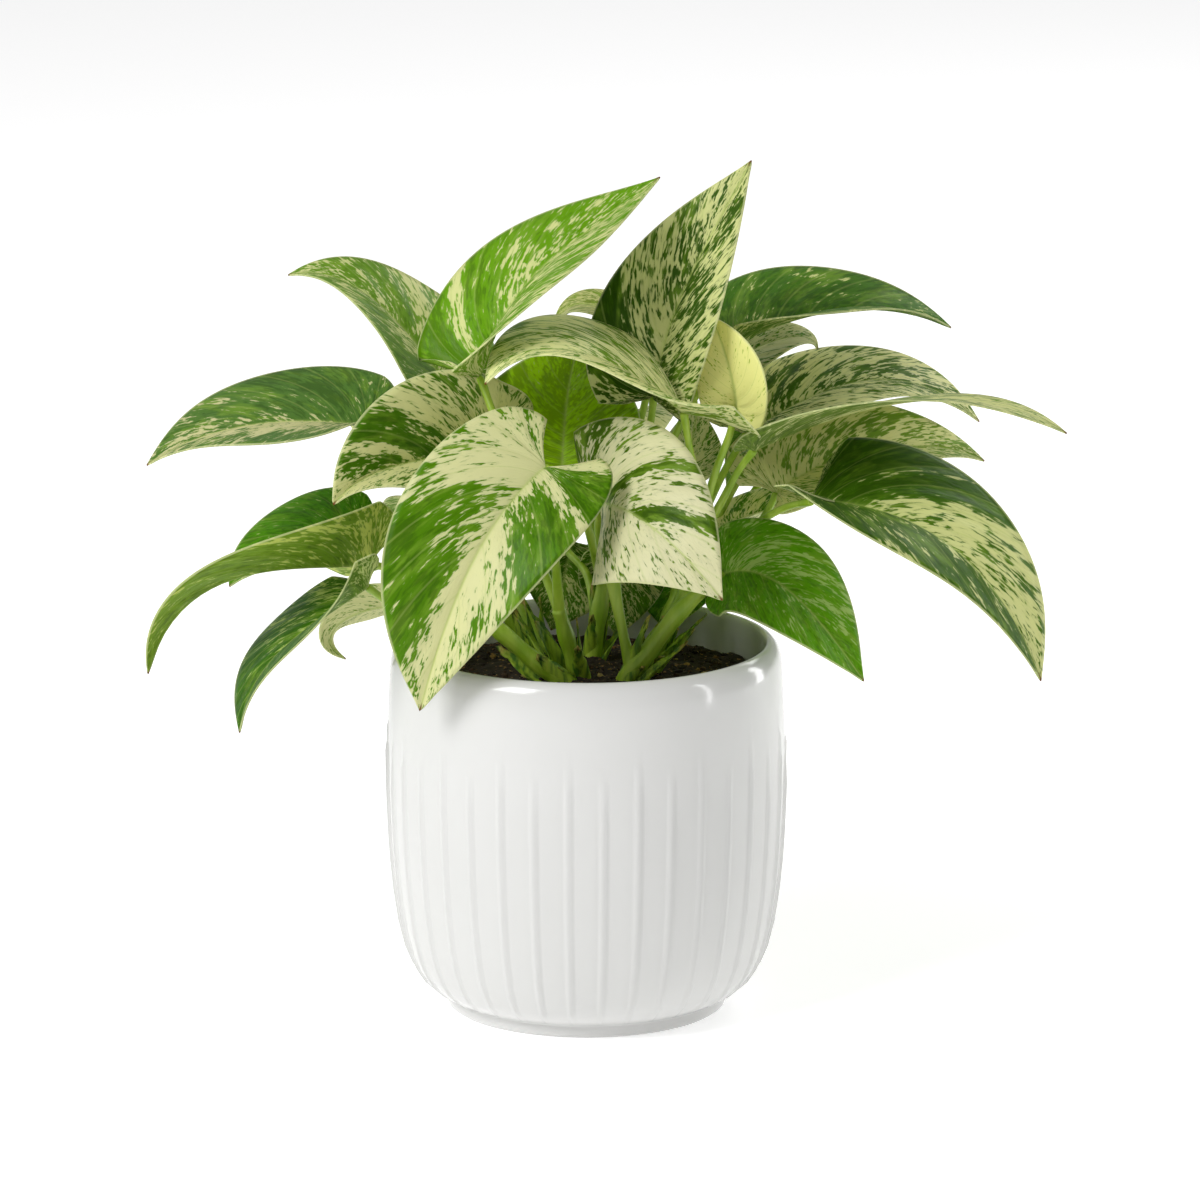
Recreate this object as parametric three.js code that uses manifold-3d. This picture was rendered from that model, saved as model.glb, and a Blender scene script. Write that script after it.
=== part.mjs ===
// Marble queen pothos in a white ribbed ceramic pot, in millimetres, +Z up.
//
// The origin is the centre of the pot's flat foot. +X is to the right and -Y is towards somebody who
// looks at the plant's front. The pot, the soil, each vine with its leaf stalks and each leaf blade
// are separate solids. A vine stands in a hole in the soil, and its stalks end just under the blades.

import * as THREE from 'three';
import Module from 'manifold-3d';
import { mergeVertices } from 'three/addons/utils/BufferGeometryUtils.js';

const wasm = await Module();
wasm.setup();

// Driving dimensions
const gap = 0.3;                    // clearance between touching pieces
const potHeight = 124;
const potRadius = 66;               // at its widest, without the ribs
const footRadius = 46;
const ribCount = 36;
const ribHeight = 0.9;
const ribHalfWidth = 1.6;           // degrees round the pot
const firstRib = 5;                 // degrees from the front
const ribTops = [92.5, 97.5];       // the ribs end at two heights, turn about
const ribFoot = 5;
const soilTop = 112;
const soilLump = 1.1;
const bladeThickness = 0.8;
const sliver = 0.02;                // detail smaller than this is dropped where solids were joined or cut

// Colours and finishes
const glaze = new THREE.MeshStandardMaterial({ color: '#f1f1ee', roughness: 0.18, metalness: 0 });
const earth = new THREE.MeshStandardMaterial({ color: '#3a281a', roughness: 0.95, metalness: 0 });
const stalkGreen = new THREE.MeshStandardMaterial({ color: '#9ab83f', roughness: 0.45, metalness: 0 });
const youngYellow = new THREE.MeshStandardMaterial({ color: '#dfe17a', roughness: 0.4, metalness: 0 });
const marbled = {
  cream: new THREE.MeshStandardMaterial({ color: '#dfe3ba', roughness: 0.4, metalness: 0 }),
  mixed: new THREE.MeshStandardMaterial({ color: '#9dbb72', roughness: 0.4, metalness: 0 }),
  green: new THREE.MeshStandardMaterial({ color: '#4f8a34', roughness: 0.4, metalness: 0 }),
};

const vector = (list) => new THREE.Vector3(...list);
const radians = THREE.MathUtils.degToRad;

// Skins and solids

function surface(points, faces) {
  const geometry = new THREE.BufferGeometry();
  geometry.setAttribute('position', new THREE.Float32BufferAttribute(points.flatMap((p) => p.toArray()), 3));
  geometry.setIndex(faces.flat());
  return geometry;
}

// A ring is a closed loop of points, each with its turn round the loop, from 0 towards 1. A skin runs
// from ring to ring, and a fan to a middle point closes each end. Seen from the end that the skin runs
// to, every ring goes anticlockwise. Neighbouring rings may have different numbers of points.
function skin(rings) {
  const points = [];
  const faces = [];
  const first = rings.map((ring) => {
    points.push(...ring.points);
    return points.length - ring.points.length;
  });
  const closeEnd = (level, flip) => {
    const { points: loop } = rings[level];
    const middle = loop.reduce((sum, p) => sum.add(p), new THREE.Vector3()).divideScalar(loop.length);
    points.push(middle);
    loop.forEach((_, i) => {
      const here = first[level] + i;
      const next = first[level] + ((i + 1) % loop.length);
      faces.push(flip ? [points.length - 1, next, here] : [here, next, points.length - 1]);
    });
  };
  closeEnd(0, true);
  for (let level = 0; level + 1 < rings.length; level += 1) {
    const [low, high] = [rings[level], rings[level + 1]];
    const [nLow, nHigh] = [low.points.length, high.points.length];
    const at = (ring, i) => ring.turns[i % ring.turns.length] + Math.floor(i / ring.turns.length);
    let [i, j] = [0, 0];
    while (i < nLow || j < nHigh) {
      const here = first[level] + (i % nLow);
      const above = first[level + 1] + (j % nHigh);
      const lowIsNext = j === nHigh || (i < nLow && at(low, i + 1) <= at(high, j + 1));
      if (lowIsNext) {
        i += 1;
        faces.push([here, first[level] + (i % nLow), above]);
      } else {
        j += 1;
        faces.push([here, first[level + 1] + (j % nHigh), above]);
      }
    }
  }
  closeEnd(rings.length - 1, false);
  return surface(points, faces);
}

function solid(geometry) {
  const bare = mergeVertices(geometry, 1e-4);
  const mesh = { numProp: 3, vertProperties: bare.attributes.position.array, triVerts: bare.index.array };
  return new wasm.Manifold(new wasm.Mesh(mesh));
}

// A cut can leave a crumb that holds to nothing, so only the largest body is kept. It can leave slivers
// as well, which are merged with their neighbours.
function geometryOf(body) {
  const largest = body.decompose().sort((a, b) => b.volume() - a.volume())[0].simplify(sliver);
  const mesh = largest.getMesh();
  const geometry = new THREE.BufferGeometry();
  geometry.setAttribute('position', new THREE.Float32BufferAttribute(mesh.vertProperties, 3));
  geometry.setIndex(Array.from(mesh.triVerts));
  return geometry;
}

function piece(name, geometry, material) {
  const mesh = new THREE.Mesh(geometry, material);
  mesh.name = name;
  return mesh;
}

// Pot

const evenAngles = (count) => Array.from({ length: count }, (_, i) => ((i + 1) * 360) / count);
const ribAngles = Array.from({ length: ribCount }, (_, i) => firstRib + (i * 360) / ribCount)
  .flatMap((angle) => [angle - ribHalfWidth, angle, angle + ribHalfWidth]);

// Angles run anticlockwise from the front, which is the -Y side.
function roundRing(angles, z, radiusAt) {
  const points = angles.map((angle, i) => {
    const radius = radiusAt(i);
    return new THREE.Vector3(radius * Math.sin(radians(angle)), -radius * Math.cos(radians(angle)), z);
  });
  return { points, turns: angles.map((angle) => angle / 360) };
}

const footWall = [[footRadius - 0.6, 0], [footRadius + 0.2, 1], [footRadius + 0.4, 3.4], [footRadius + 1.2, 4.2]];
const ribbedWall = [
  [48.6, ribFoot], [54.7, 10], [59.9, 20], [63.7, 40], [65.2, 58], [65.9, 76], [potRadius, 87.5],
  [65.95, ribTops[0]], [65.8, ribTops[1]],
];
const plainWall = [[65.6, 106], [64.9, 116]];
const lip = [[63.9, 120], [62.4, 122.8], [61.3, 123.8], [60.3, potHeight], [59.4, 123.7], [59.1, 122.6]];
const inside = [[59.2, 116], [60, 88], [59.2, 58], [56, 30], [50, 14], [41, 8]];

function pot() {
  const ribbed = ribbedWall.map(([radius, z]) => roundRing(ribAngles, z, (i) => {
    const rib = Math.floor(i / 3);
    const onCrest = i % 3 === 1 && z > ribFoot && z < ribTops[rib % 2];
    return radius + (onCrest ? ribHeight : 0);
  }));
  const plain = (rows, count) => rows.map(([radius, z]) => roundRing(evenAngles(count), z, () => radius));
  return skin([
    ...plain(footWall, 60), ...ribbed, ...plain(plainWall, 72), ...plain(lip, 72), ...plain(inside, 48),
  ]);
}

// Soil: it fills the inside of the pot and has a low lumpy top.
function soil(holes) {
  const lump = (x, y) => soilLump * (Math.sin(0.31 * x + 1.3) * Math.cos(0.27 * y - 0.6)
    + 0.5 * Math.sin(0.63 * x - 0.5 * y));
  const sides = inside.filter(([, z]) => z < soilTop - 3).reverse();
  const rows = [
    ...sides.map(([radius, z], i) => [radius - gap, z + (i === 0 ? gap : 0)]),
    [59.5 - gap, soilTop - 3], [57.5, soilTop - 1.6], [46, soilTop - 0.6], [34, soilTop], [22, soilTop + 0.8],
    [10, soilTop + 1.4],
  ];
  const rings = rows.map(([radius, z]) => {
    const ring = roundRing(evenAngles(radius > 50 ? 48 : 24), z, () => radius);
    if (z > soilTop - 1) ring.points.forEach((p) => p.setZ(p.z + lump(p.x, p.y)));
    return ring;
  });
  return holes.reduce((body, hole) => body.subtract(hole), solid(skin(rings)));
}

// Leaves
//
// A blade is first drawn flat, one leaf long and one half width wide. The stalk joins it at the
// origin, in the notch between its two lobes, and x runs along the midrib to the tip. Each half is
// ruled by veins, which leave the midrib and sweep forward to the margin.

const flat = (x, y) => new THREE.Vector2(x, y);
const lobeEdge = new THREE.CubicBezierCurve(flat(-0.13, 0.38), flat(-0.13, 0.75), flat(0.04, 1), flat(0.26, 1));
const sideEdge = new THREE.CubicBezierCurve(flat(0.26, 1), flat(0.58, 1), flat(0.84, 0.28), flat(1, 0));
const lobeShare = 0.4;              // of the veins, those that end on the lobe
const fanShare = 0.25;              // of the veins, those that start where the stalk joins
const veins = [0, 0.13, 0.26, 0.4, 0.53, 0.66, 0.78, 0.89];
const cells = 2;                    // along each vein

const edge = (v) => (v < lobeShare
  ? lobeEdge.getPoint(v / lobeShare)
  : sideEdge.getPoint((v - lobeShare) / (1 - lobeShare)));

function veinPoint(v, u) {
  const end = edge(v);
  const start = Math.max(0, (v - fanShare) / (1 - fanShare)) ** 2.2;
  const control = flat(start + 0.3 * (end.x - start), 0.55 * end.y);
  return new THREE.QuadraticBezierCurve(flat(start, 0), control, end).getPoint(u);
}

// The midrib is one cubic curve through four points: the joint, a third and two thirds of the way,
// and the tip.
function ribCurve(rib) {
  const [p0, a, b, p3] = rib.map(vector);
  const inner = (near, one, two, far) => new THREE.Vector3()
    .addScaledVector(near, -5).addScaledVector(one, 18).addScaledVector(two, -9).addScaledVector(far, 2)
    .divideScalar(6);
  return new THREE.CubicBezierCurve3(p0, inner(p0, a, b, p3), inner(p3, b, a, p0), p3);
}

// The frame at x leaf lengths: the way to the tip, the way that the upper face looks and the way to
// the left half. The face turns about the midrib, from the way that the leaf is told to look at, by
// `turn` degrees towards its left half, given at the joint, halfway and at the tip.
function leafFrame(leaf, x) {
  const along = THREE.MathUtils.clamp(x, 0, 1);
  const tangent = leaf.curve.getTangentAt(along);
  const place = leaf.curve.getPointAt(along).addScaledVector(tangent, (x - along) * leaf.length);
  const level = vector(leaf.looks).projectOnPlane(tangent).normalize();
  const side = new THREE.Vector3().crossVectors(level, tangent);
  const [joint, halfway, tip] = leaf.turn;
  const turn = radians(joint * (1 - along) * (1 - 2 * along) + halfway * 4 * along * (1 - along)
    + tip * along * (2 * along - 1));
  const up = level.multiplyScalar(Math.cos(turn)).addScaledVector(side, Math.sin(turn));
  return { place, tangent, up, left: new THREE.Vector3().crossVectors(up, tangent) };
}

// Each half leaves the midrib `fold` degrees upwards, and `lift` degrees more where the lobes stand
// up round the stalk. It bends down by `curl` degrees on its way to the margin, which also waves.
// `lobes` is how far the lobes reach back, and `skew` slides the left half towards the tip and the
// right half back.
function bladePoint(leaf, flatX, y, depth) {
  const half = y < 0 ? 1 : 0;
  const sign = y < 0 ? -1 : 1;
  const s = Math.abs(y);
  const x = flatX * (flatX < 0 ? leaf.lobes[half] : 1) + leaf.skew * y;
  const { place, tangent, up, left } = leafFrame(leaf, x);
  const fold = radians(leaf.fold[half] + leaf.lift[half] * (1 - THREE.MathUtils.clamp(x, 0, 1)) ** 5);
  const curl = radians(leaf.curl);
  const bend = (curl * s) / 2;
  const reach = leaf.wide[half] * s * (bend === 0 ? 1 : Math.sin(bend) / bend);
  const [height, cycles, phase] = leaf.wave;
  const wave = height * Math.sin(2 * Math.PI * (cycles * x + phase + half / 4)) * s * s;
  const slope = s === 0 ? 0 : fold - curl * s;
  const normal = up.clone().multiplyScalar(Math.cos(slope)).addScaledVector(left, -sign * Math.sin(slope));
  return place
    .addScaledVector(left, sign * reach * Math.cos(fold - bend))
    .addScaledVector(up, reach * Math.sin(fold - bend) + wave)
    .addScaledVector(normal, -depth);
}

// Both faces are split into the same triangles, and a wall joins them round the margin. The faces lie
// `above` over and `below` under the drawn surface.
function blade(leaf, above = 0, below = bladeThickness) {
  const points = [];
  const faces = [];
  const layer = (depth) => {
    const put = (x, y) => points.push(bladePoint(leaf, x, y, depth)) - 1;
    const joint = put(0, 0);
    const midrib = veins.map((v) => (v <= fanShare ? joint : put(veinPoint(v, 0).x, 0)));
    midrib.push(put(1, 0));
    return [1, -1].map((side) => midrib.map((middle, i) => {
      const outward = Array.from({ length: cells }, (_, j) => {
        if (i === veins.length) return middle;
        const { x, y } = veinPoint(veins[i], (j + 1) / cells);
        return put(x, side * y);
      });
      return [middle, ...outward];
    }));
  };
  const tile = (flip, a, b, c, d) => [[a, b, c], [a, c, d]].forEach(([p, q, r]) => {
    if (p !== q && q !== r && r !== p) faces.push(flip ? [p, r, q] : [p, q, r]);
  });
  const top = layer(-above);
  const bottom = layer(below);
  top.forEach((upper, half) => {
    const under = bottom[half];
    for (let j = 0; j < cells; j += 1) {
      tile(half === 1, upper[0][j], upper[0][j + 1], under[0][j + 1], under[0][j]);
      for (let i = 0; i < veins.length; i += 1) {
        tile(half === 1, upper[i][j], upper[i + 1][j], upper[i + 1][j + 1], upper[i][j + 1]);
        tile(half === 0, under[i][j], under[i + 1][j], under[i + 1][j + 1], under[i][j + 1]);
      }
    }
    for (let i = 0; i < veins.length; i += 1) {
      tile(half === 1, upper[i][cells], upper[i + 1][cells], under[i + 1][cells], under[i][cells]);
    }
  });
  return surface(points, faces);
}

// What most leaves share: which way the face looks before it turns, its folds and lifts (left, then
// right), its curl, its skew and its wave (height, cycles, phase).
const front = [0, -0.97, 0.24];
const above = [0, 0, 1];
const usual = { looks: front, fold: [14, 14], lift: [25, 25], curl: 12, lobes: [0.7, 0.7], skew: 0, wave: [1, 1, 0] };

// For each leaf: its midrib, how its face turns, its half widths, what isn't usual about it, and tone.
const leaves = {
  leaf_01: {
    rib: [[-13, -35, 190], [-32, -49, 170], [-45, -57, 143], [-54, -55, 113]],
    turn: [-8, -8, -8], wide: [27, 31], fold: [22, 22], lift: [0, 0], lobes: [1, 1], skew: -0.07, tone: 'cream',
  },
  leaf_02: {
    rib: [[-32, 4, 187], [-50, -13, 188], [-68, -26, 186], [-82, -38, 178]],
    turn: [-18, -20, -23], wide: [28, 29], fold: [40, 38], lift: [0, 25], lobes: [0.3, 2], skew: -0.06, tone: 'cream',
  },
  leaf_03: {
    rib: [[-35, -12, 215], [-20, -10, 245], [0, -2, 261], [24, 6, 278]],
    turn: [56, 52, 48], wide: [28, 24], fold: [14, 22], lift: [20, 50], lobes: [-0.2, 0.1], skew: -0.05, tone: 'mixed',
  },
  leaf_04: {
    rib: [[-46, 14, 207], [-63, 22, 227], [-80, 28, 239], [-99, 34, 240]],
    turn: [-50, -66, -66], wide: [22, 27], fold: [12, 22], lift: [0, 0], tone: 'mixed',
  },
  leaf_05: {
    rib: [[-72, 10, 194], [-96, 12, 195], [-121, 10, 192], [-145, 4, 182]],
    turn: [-58, -60, -62], wide: [28, 29], fold: [17, 16], lift: [20, 0], tone: 'green',
  },
  leaf_06: {
    rib: [[-71, -2, 150], [-97, -12, 151], [-125, -20, 145], [-144, -24, 118]],
    turn: [-116, -88, -112], wide: [28, 26], fold: [20, 18], lift: [10, 0], curl: 0, tone: 'green',
  },
  leaf_07: {
    rib: [[-77, 31, 151], [-92, 31, 151], [-107, 29, 145], [-119, 21, 137]],
    turn: [-50, -55, -50], wide: [16, 23], lift: [0, 0], tone: 'green',
  },
  leaf_08: {
    rib: [[-72, -18, 146], [-93, -23, 132], [-107, -26, 118], [-114, -28, 99]],
    turn: [-64, -64, -64], wide: [22, 26], fold: [20, 4], lift: [35, 0], lobes: [0.4, 0.1], skew: -0.12, tone: 'green',
  },
  leaf_09: {
    rib: [[-60, 26, 128], [-73, 30, 127], [-85, 34, 119], [-81, 36, 108]],
    turn: [-115, -125, -120], wide: [9, 11], fold: [20, 20], lift: [0, 0], lobes: [0.4, 0.4], curl: 0, tone: 'cream',
  },
  leaf_10: {
    rib: [[4, -12, 172], [12, -36, 176], [26, -54, 170], [44, -64, 152]],
    turn: [0, 0, 0], wide: [30, 27], fold: [5, 5], lift: [0, 0], curl: 20, tone: 'cream',
  },
  leaf_11: {
    rib: [[45, -8, 148], [61, -16, 148], [76, -24, 136], [91, -30, 117]],
    turn: [38, 40, 40], wide: [23, 22], fold: [6, 12], lift: [0, 0], tone: 'green',
  },
  leaf_12: {
    rib: [[74, -6, 172], [107, -16, 167], [132, -24, 148], [149, -30, 117]],
    turn: [56, 54, 50], wide: [35, 30], fold: [11, 13], lift: [10, 35], lobes: [0.1, -1], skew: 0.07, tone: 'mixed',
  },
  leaf_13: {
    rib: [[63, 20, 169], [84, 28, 179], [109, 34, 182], [133, 38, 176]],
    turn: [45, 52, 60], wide: [28, 20], lift: [10, 0], tone: 'cream',
  },
  leaf_14: {
    rib: [[53, 30, 187], [77, 42, 198], [104, 50, 201], [132, 54, 186]],
    turn: [58, 62, 62], wide: [31, 16], fold: [8, 5], lift: [0, 0], lobes: [0.2, 0.4], tone: 'mixed',
  },
  leaf_15: {
    rib: [[55, -4, 189], [87, -2, 201], [123, 0, 205], [158, -2, 194]],
    turn: [89, 87, 60], wide: [20, 26], fold: [3, 3], lift: [0, 10], lobes: [0.4, 0.4], curl: 0, tone: 'mixed',
  },
  leaf_16: {
    rib: [[47, 26, 217], [69, 34, 225], [95, 42, 227], [122, 50, 219]],
    turn: [68, 70, 72], wide: [36, 26], fold: [18, 22], lift: [0, 15], lobes: [0.4, 0.4], tone: 'green',
  },
  leaf_17: {
    rib: [[32, -16, 204], [12, -24, 220], [-11, -30, 228], [-33, -34, 217]],
    turn: [-68, -68, -70], wide: [24, 29], fold: [10, 10], lift: [45, 0], lobes: [-0.6, 0.1], skew: -0.28, tone: 'cream',
  },
  leaf_18: {
    rib: [[-8, 8, 181], [-7, 18, 196], [-5, 28, 208], [-2, 38, 218]],
    turn: [10, 10, 10], wide: [32, 26], fold: [10, 10], lift: [0, 0], lobes: [1.4, 1], tone: 'green',
  },
  leaf_19: {
    rib: [[22, 12, 203], [29, 9, 232], [40, 10, 256], [54, 14, 282]],
    turn: [42, 40, 34], wide: [25, 28], fold: [24, 24], lift: [60, 0], lobes: [0.1, -0.6], tone: 'mixed',
  },
  leaf_20: {
    rib: [[23, 40, 211], [12, 44, 223], [-1, 50, 227], [-11, 54, 219]],
    turn: [-65, -65, -65], wide: [18, 16], tone: 'mixed',
  },
  leaf_21: {
    rib: [[36, 52, 194], [49, 57, 206], [67, 62, 213], [78, 68, 208]],
    turn: [55, 60, 60], wide: [20, 20], tone: 'cream',
  },
  leaf_22: {
    rib: [[60, 58, 181], [56, 60, 176], [52, 61, 170], [47, 61, 162]],
    turn: [-120, -120, -120], wide: [12, 12], tone: 'green',
  },
  leaf_23: {
    rib: [[34, 30, 172], [35, 36, 180], [36, 41, 187], [38, 45, 194]],
    turn: [0, 0, 0], wide: [10, 11], tone: 'cream',
  },
  leaf_24: {
    rib: [[48, 30, 150], [61, 38, 159], [75, 45, 161], [91, 52, 157]],
    turn: [75, 75, 75], wide: [20, 14], tone: 'cream',
  },
  leaf_25: {
    rib: [[-41, 48, 177], [-56, 68, 186], [-67, 90, 181], [-74, 108, 163]],
    looks: above, turn: [0, 0, 0], wide: [28, 20], tone: 'mixed',
  },
  leaf_26: {
    rib: [[-1, 50, 179], [2, 76, 182], [6, 98, 172], [9, 114, 146]],
    looks: above, turn: [0, 0, 0], wide: [26, 29], tone: 'cream',
  },
  leaf_27: {
    rib: [[66, 70, 172], [80, 84, 178], [94, 98, 172], [106, 110, 150]],
    looks: above, turn: [0, 0, 0], wide: [26, 26], tone: 'green',
  },
  leaf_28: {
    rib: [[-34, 50, 150], [-44, 70, 152], [-50, 88, 140], [-54, 100, 114]],
    looks: above, turn: [0, 0, 0], wide: [25, 25], tone: 'mixed',
  },
  leaf_29: {
    rib: [[16, 54, 150], [18, 76, 152], [20, 96, 140], [22, 108, 114]],
    looks: above, turn: [0, 0, 0], wide: [26, 26], tone: 'cream',
  },
  leaf_30: {
    rib: [[-5, 42, 147], [-7, 46, 137], [-9, 47, 127], [-12, 45, 116]],
    turn: [0, 0, 0], wide: [20, 16], lift: [0, 0], tone: 'mixed',
  },
  leaf_31: {
    rib: [[30, 41, 139], [29, 44, 132], [28, 44, 125], [27, 42, 116]],
    turn: [0, 0, 0], wide: [14, 14], lift: [0, 0], tone: 'green',
  },
  leaf_32: {
    rib: [[11, 33, 146], [11, 36, 137], [11, 37, 127], [10, 35, 116]],
    turn: [0, 0, 0], wide: [16, 14], lift: [0, 0], tone: 'mixed',
  },
  young_leaf: {
    rib: [[49, -6, 203], [48, -9, 212], [45, -7, 223], [41, -2, 233]],
    turn: [20, 20, 20], wide: [12, 15], fold: [25, 25], lift: [15, 15], lobes: [0.1, 0.1], curl: 0,
    wave: [0, 1, 0], tone: 'young',
  },
};
Object.entries(leaves).forEach(([name, own]) => {
  const leaf = { ...usual, ...own };
  leaf.curve = ribCurve(leaf.rib);
  leaf.length = leaf.curve.getLength();
  leaves[name] = leaf;
});

// Vines: a short stem stands in the soil, and each stalk leaves it at a share of its length and ends
// just under its blade, in the notch.

const stemSink = 14;
const stalkRadius = [1.9, 1.45];     // where it leaves the stem and at the blade
const stemSides = 8;
const stalkSides = 6;
const stemSteps = 4;
const stalkSteps = 5;

function tube(points, steps, sides, [thick, thin], swell = 0) {
  const curve = new THREE.CatmullRomCurve3(points);
  const { tangents, normals, binormals } = curve.computeFrenetFrames(steps, false);
  return skin(tangents.map((tangent, i) => {
    const outward = i === 0 ? -swell : (i === steps ? swell : 0);
    const middle = curve.getPointAt(i / steps).addScaledVector(tangent, outward);
    const radius = THREE.MathUtils.lerp(thick, thin, i / steps) + swell;
    const turns = Array.from({ length: sides }, (_, k) => k / sides);
    return {
      turns,
      points: turns.map((turn) => middle.clone()
        .addScaledVector(normals[i], radius * Math.cos(2 * Math.PI * turn))
        .addScaledVector(binormals[i], radius * Math.sin(2 * Math.PI * turn))),
    };
  }));
}

// For each vine: the middle line of its stem above the soil, the radius at its foot and top, and its
// stalks, each with the share of the stem's length where it leaves and the points on its way.
const vines = {
  vine_1: {
    stem: [[-9, -12, 112], [-19, -12, 121], [-28, -12, 129], [-35, -12, 135]], thick: [3.6, 2.6],
    stalks: {
      leaf_06: [0.85, [-48, -8, 146], [-61, -5, 148]],
      leaf_08: [0.95, [-52, -13, 137], [-63, -15, 139]],
      leaf_09: [0.6, [-44, 6, 137], [-52, 17, 134]],
    },
  },
  vine_2: {
    stem: [[-3, -4, 112], [-6, -7, 124], [-9, -10, 136]], thick: [3.4, 2.6],
    stalks: {
      leaf_01: [0.9, [-10, -16, 152], [-12, -25, 176]],
      leaf_02: [1, [-17, -4, 155], [-27, 2, 174]],
      leaf_03: [1, [-11, -20, 160], [-18, -23, 182], [-28, -20, 199]],
    },
  },
  vine_3: {
    stem: [[13, -11, 112], [21, -11, 123], [31, -11, 136], [39, -12, 144]], thick: [3.8, 2.6],
    stalks: {
      leaf_10: [0.35, [9, -9, 140], [4, -7, 160]],
      leaf_11: [0.95, [42, -10, 146]],
      leaf_12: [0.95, [45, 2, 150], [55, 8, 160], [65, 5, 167]],
      leaf_19: [0.3, [10, -8, 149], [17, 0, 176], [21, 8, 194]],
    },
  },
  vine_4: {
    stem: [[18, 2, 112], [26, 1, 126], [33, 1, 140]], thick: [3.4, 2.6],
    stalks: {
      leaf_13: [0.95, [44, 9, 145], [53, 14, 154], [60, 18, 163]],
      leaf_14: [0.9, [36, 12, 155], [45, 23, 174]],
      leaf_15: [1, [39, 2, 159], [45, 1, 171], [50, -1, 181]],
      leaf_17: [1, [35, -4, 160], [36, -9, 180], [34, -13, 190]],
      young_leaf: [1, [39, -2, 168], [43, -4, 183], [47, -5, 194]],
    },
  },
  vine_5: {
    stem: [[-16, 12, 112], [-24, 14, 126], [-31, 15, 140]], thick: [3.4, 2.6],
    stalks: {
      leaf_04: [1, [-38, 15, 165], [-44, 14, 190]],
      leaf_05: [1, [-46, 14, 162], [-60, 12, 182]],
      leaf_07: [0.9, [-46, 22, 144], [-62, 29, 149]],
    },
  },
  vine_6: {
    stem: [[2, 20, 112], [4, 21, 126], [6, 22, 140]], thick: [3.4, 2.6],
    stalks: {
      leaf_16: [1, [20, 24, 168], [36, 26, 200]],
      leaf_18: [0.9, [0, 14, 160], [-5, 9, 175]],
      leaf_20: [1, [11, 30, 168], [19, 37, 194]],
      leaf_21: [1, [18, 36, 162], [30, 47, 180]],
      leaf_26: [0.95, [2, 32, 158], [0, 43, 172]],
      leaf_29: [1, [9, 34, 153], [13, 46, 154]],
      leaf_30: [0.6, [0, 30, 139], [-7, 38, 146]],
      leaf_32: [0.9, [8, 27, 144]],
    },
  },
  vine_7: {
    stem: [[22, 20, 112], [27, 24, 124], [31, 28, 134]], thick: [3.4, 2.6],
    stalks: {
      leaf_22: [1, [42, 42, 152], [53, 52, 170]],
      leaf_23: [1, [33, 30, 150], [34, 30, 162]],
      leaf_24: [0.9, [38, 28, 140], [44, 29, 146]],
      leaf_27: [1, [46, 50, 148], [58, 63, 162]],
      leaf_31: [0.7, [30, 34, 134], [31, 39, 137]],
    },
  },
  vine_8: {
    stem: [[-14, 30, 112], [-20, 35, 122], [-25, 39, 132]], thick: [3.4, 2.6],
    stalks: {
      leaf_25: [1, [-32, 43, 155], [-37, 46, 168]],
      leaf_28: [0.9, [-28, 44, 140], [-32, 48, 146]],
    },
  },
};

function stemPoints(plan) {
  const [foot, ...rest] = plan.stem.map(vector);
  return [foot.clone().setZ(soilTop - stemSink), foot, ...rest];
}

function vine(plan) {
  const points = stemPoints(plan);
  const curve = new THREE.CatmullRomCurve3(points);
  let body = solid(tube(points, stemSteps, stemSides, plan.thick));
  Object.entries(plan.stalks).forEach(([name, [from, ...via]]) => {
    const leaf = leaves[name];
    const end = bladePoint(leaf, 0, 0, bladeThickness / 2);
    const route = [curve.getPointAt(from), ...via.map(vector), end];
    body = body.add(solid(tube(route, stalkSteps, stalkSides, stalkRadius)));
    const clear = solid(blade(leaf, gap, bladeThickness + gap));
    const back = leafFrame(leaf, 0).tangent.multiplyScalar(-gap);
    body = body.subtract(clear).subtract(clear.translate(back.toArray()));
  });
  return geometryOf(body);
}

// Whole plant

const plant = new THREE.Group();
plant.add(piece('pot', pot(), glaze));
const holes = Object.values(vines).map((plan) => (
  solid(tube(stemPoints(plan), stemSteps, stemSides, plan.thick, gap))));
plant.add(piece('soil', geometryOf(soil(holes)), earth));
Object.entries(vines).forEach(([name, plan]) => plant.add(piece(name, vine(plan), stalkGreen)));
Object.entries(leaves).forEach(([name, leaf]) => {
  plant.add(piece(name, blade(leaf), leaf.tone === 'young' ? youngYellow : marbled[leaf.tone]));
});

export default plant;
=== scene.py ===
# %% [markdown]
# # A marble queen pothos in a white ribbed pot
#
# This lesson dresses a packed plant. The solids give every place and size: the pot, the soil, the
# stems and the flat, faceted blades. Here each of them gets a finer shape and its finish. The
# frame is in metres, with +Z up and -Y towards the viewer.

# %% Load the frame
import math
import random

import bpy
import numpy as np
from mathutils import Matrix, Vector, noise


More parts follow.
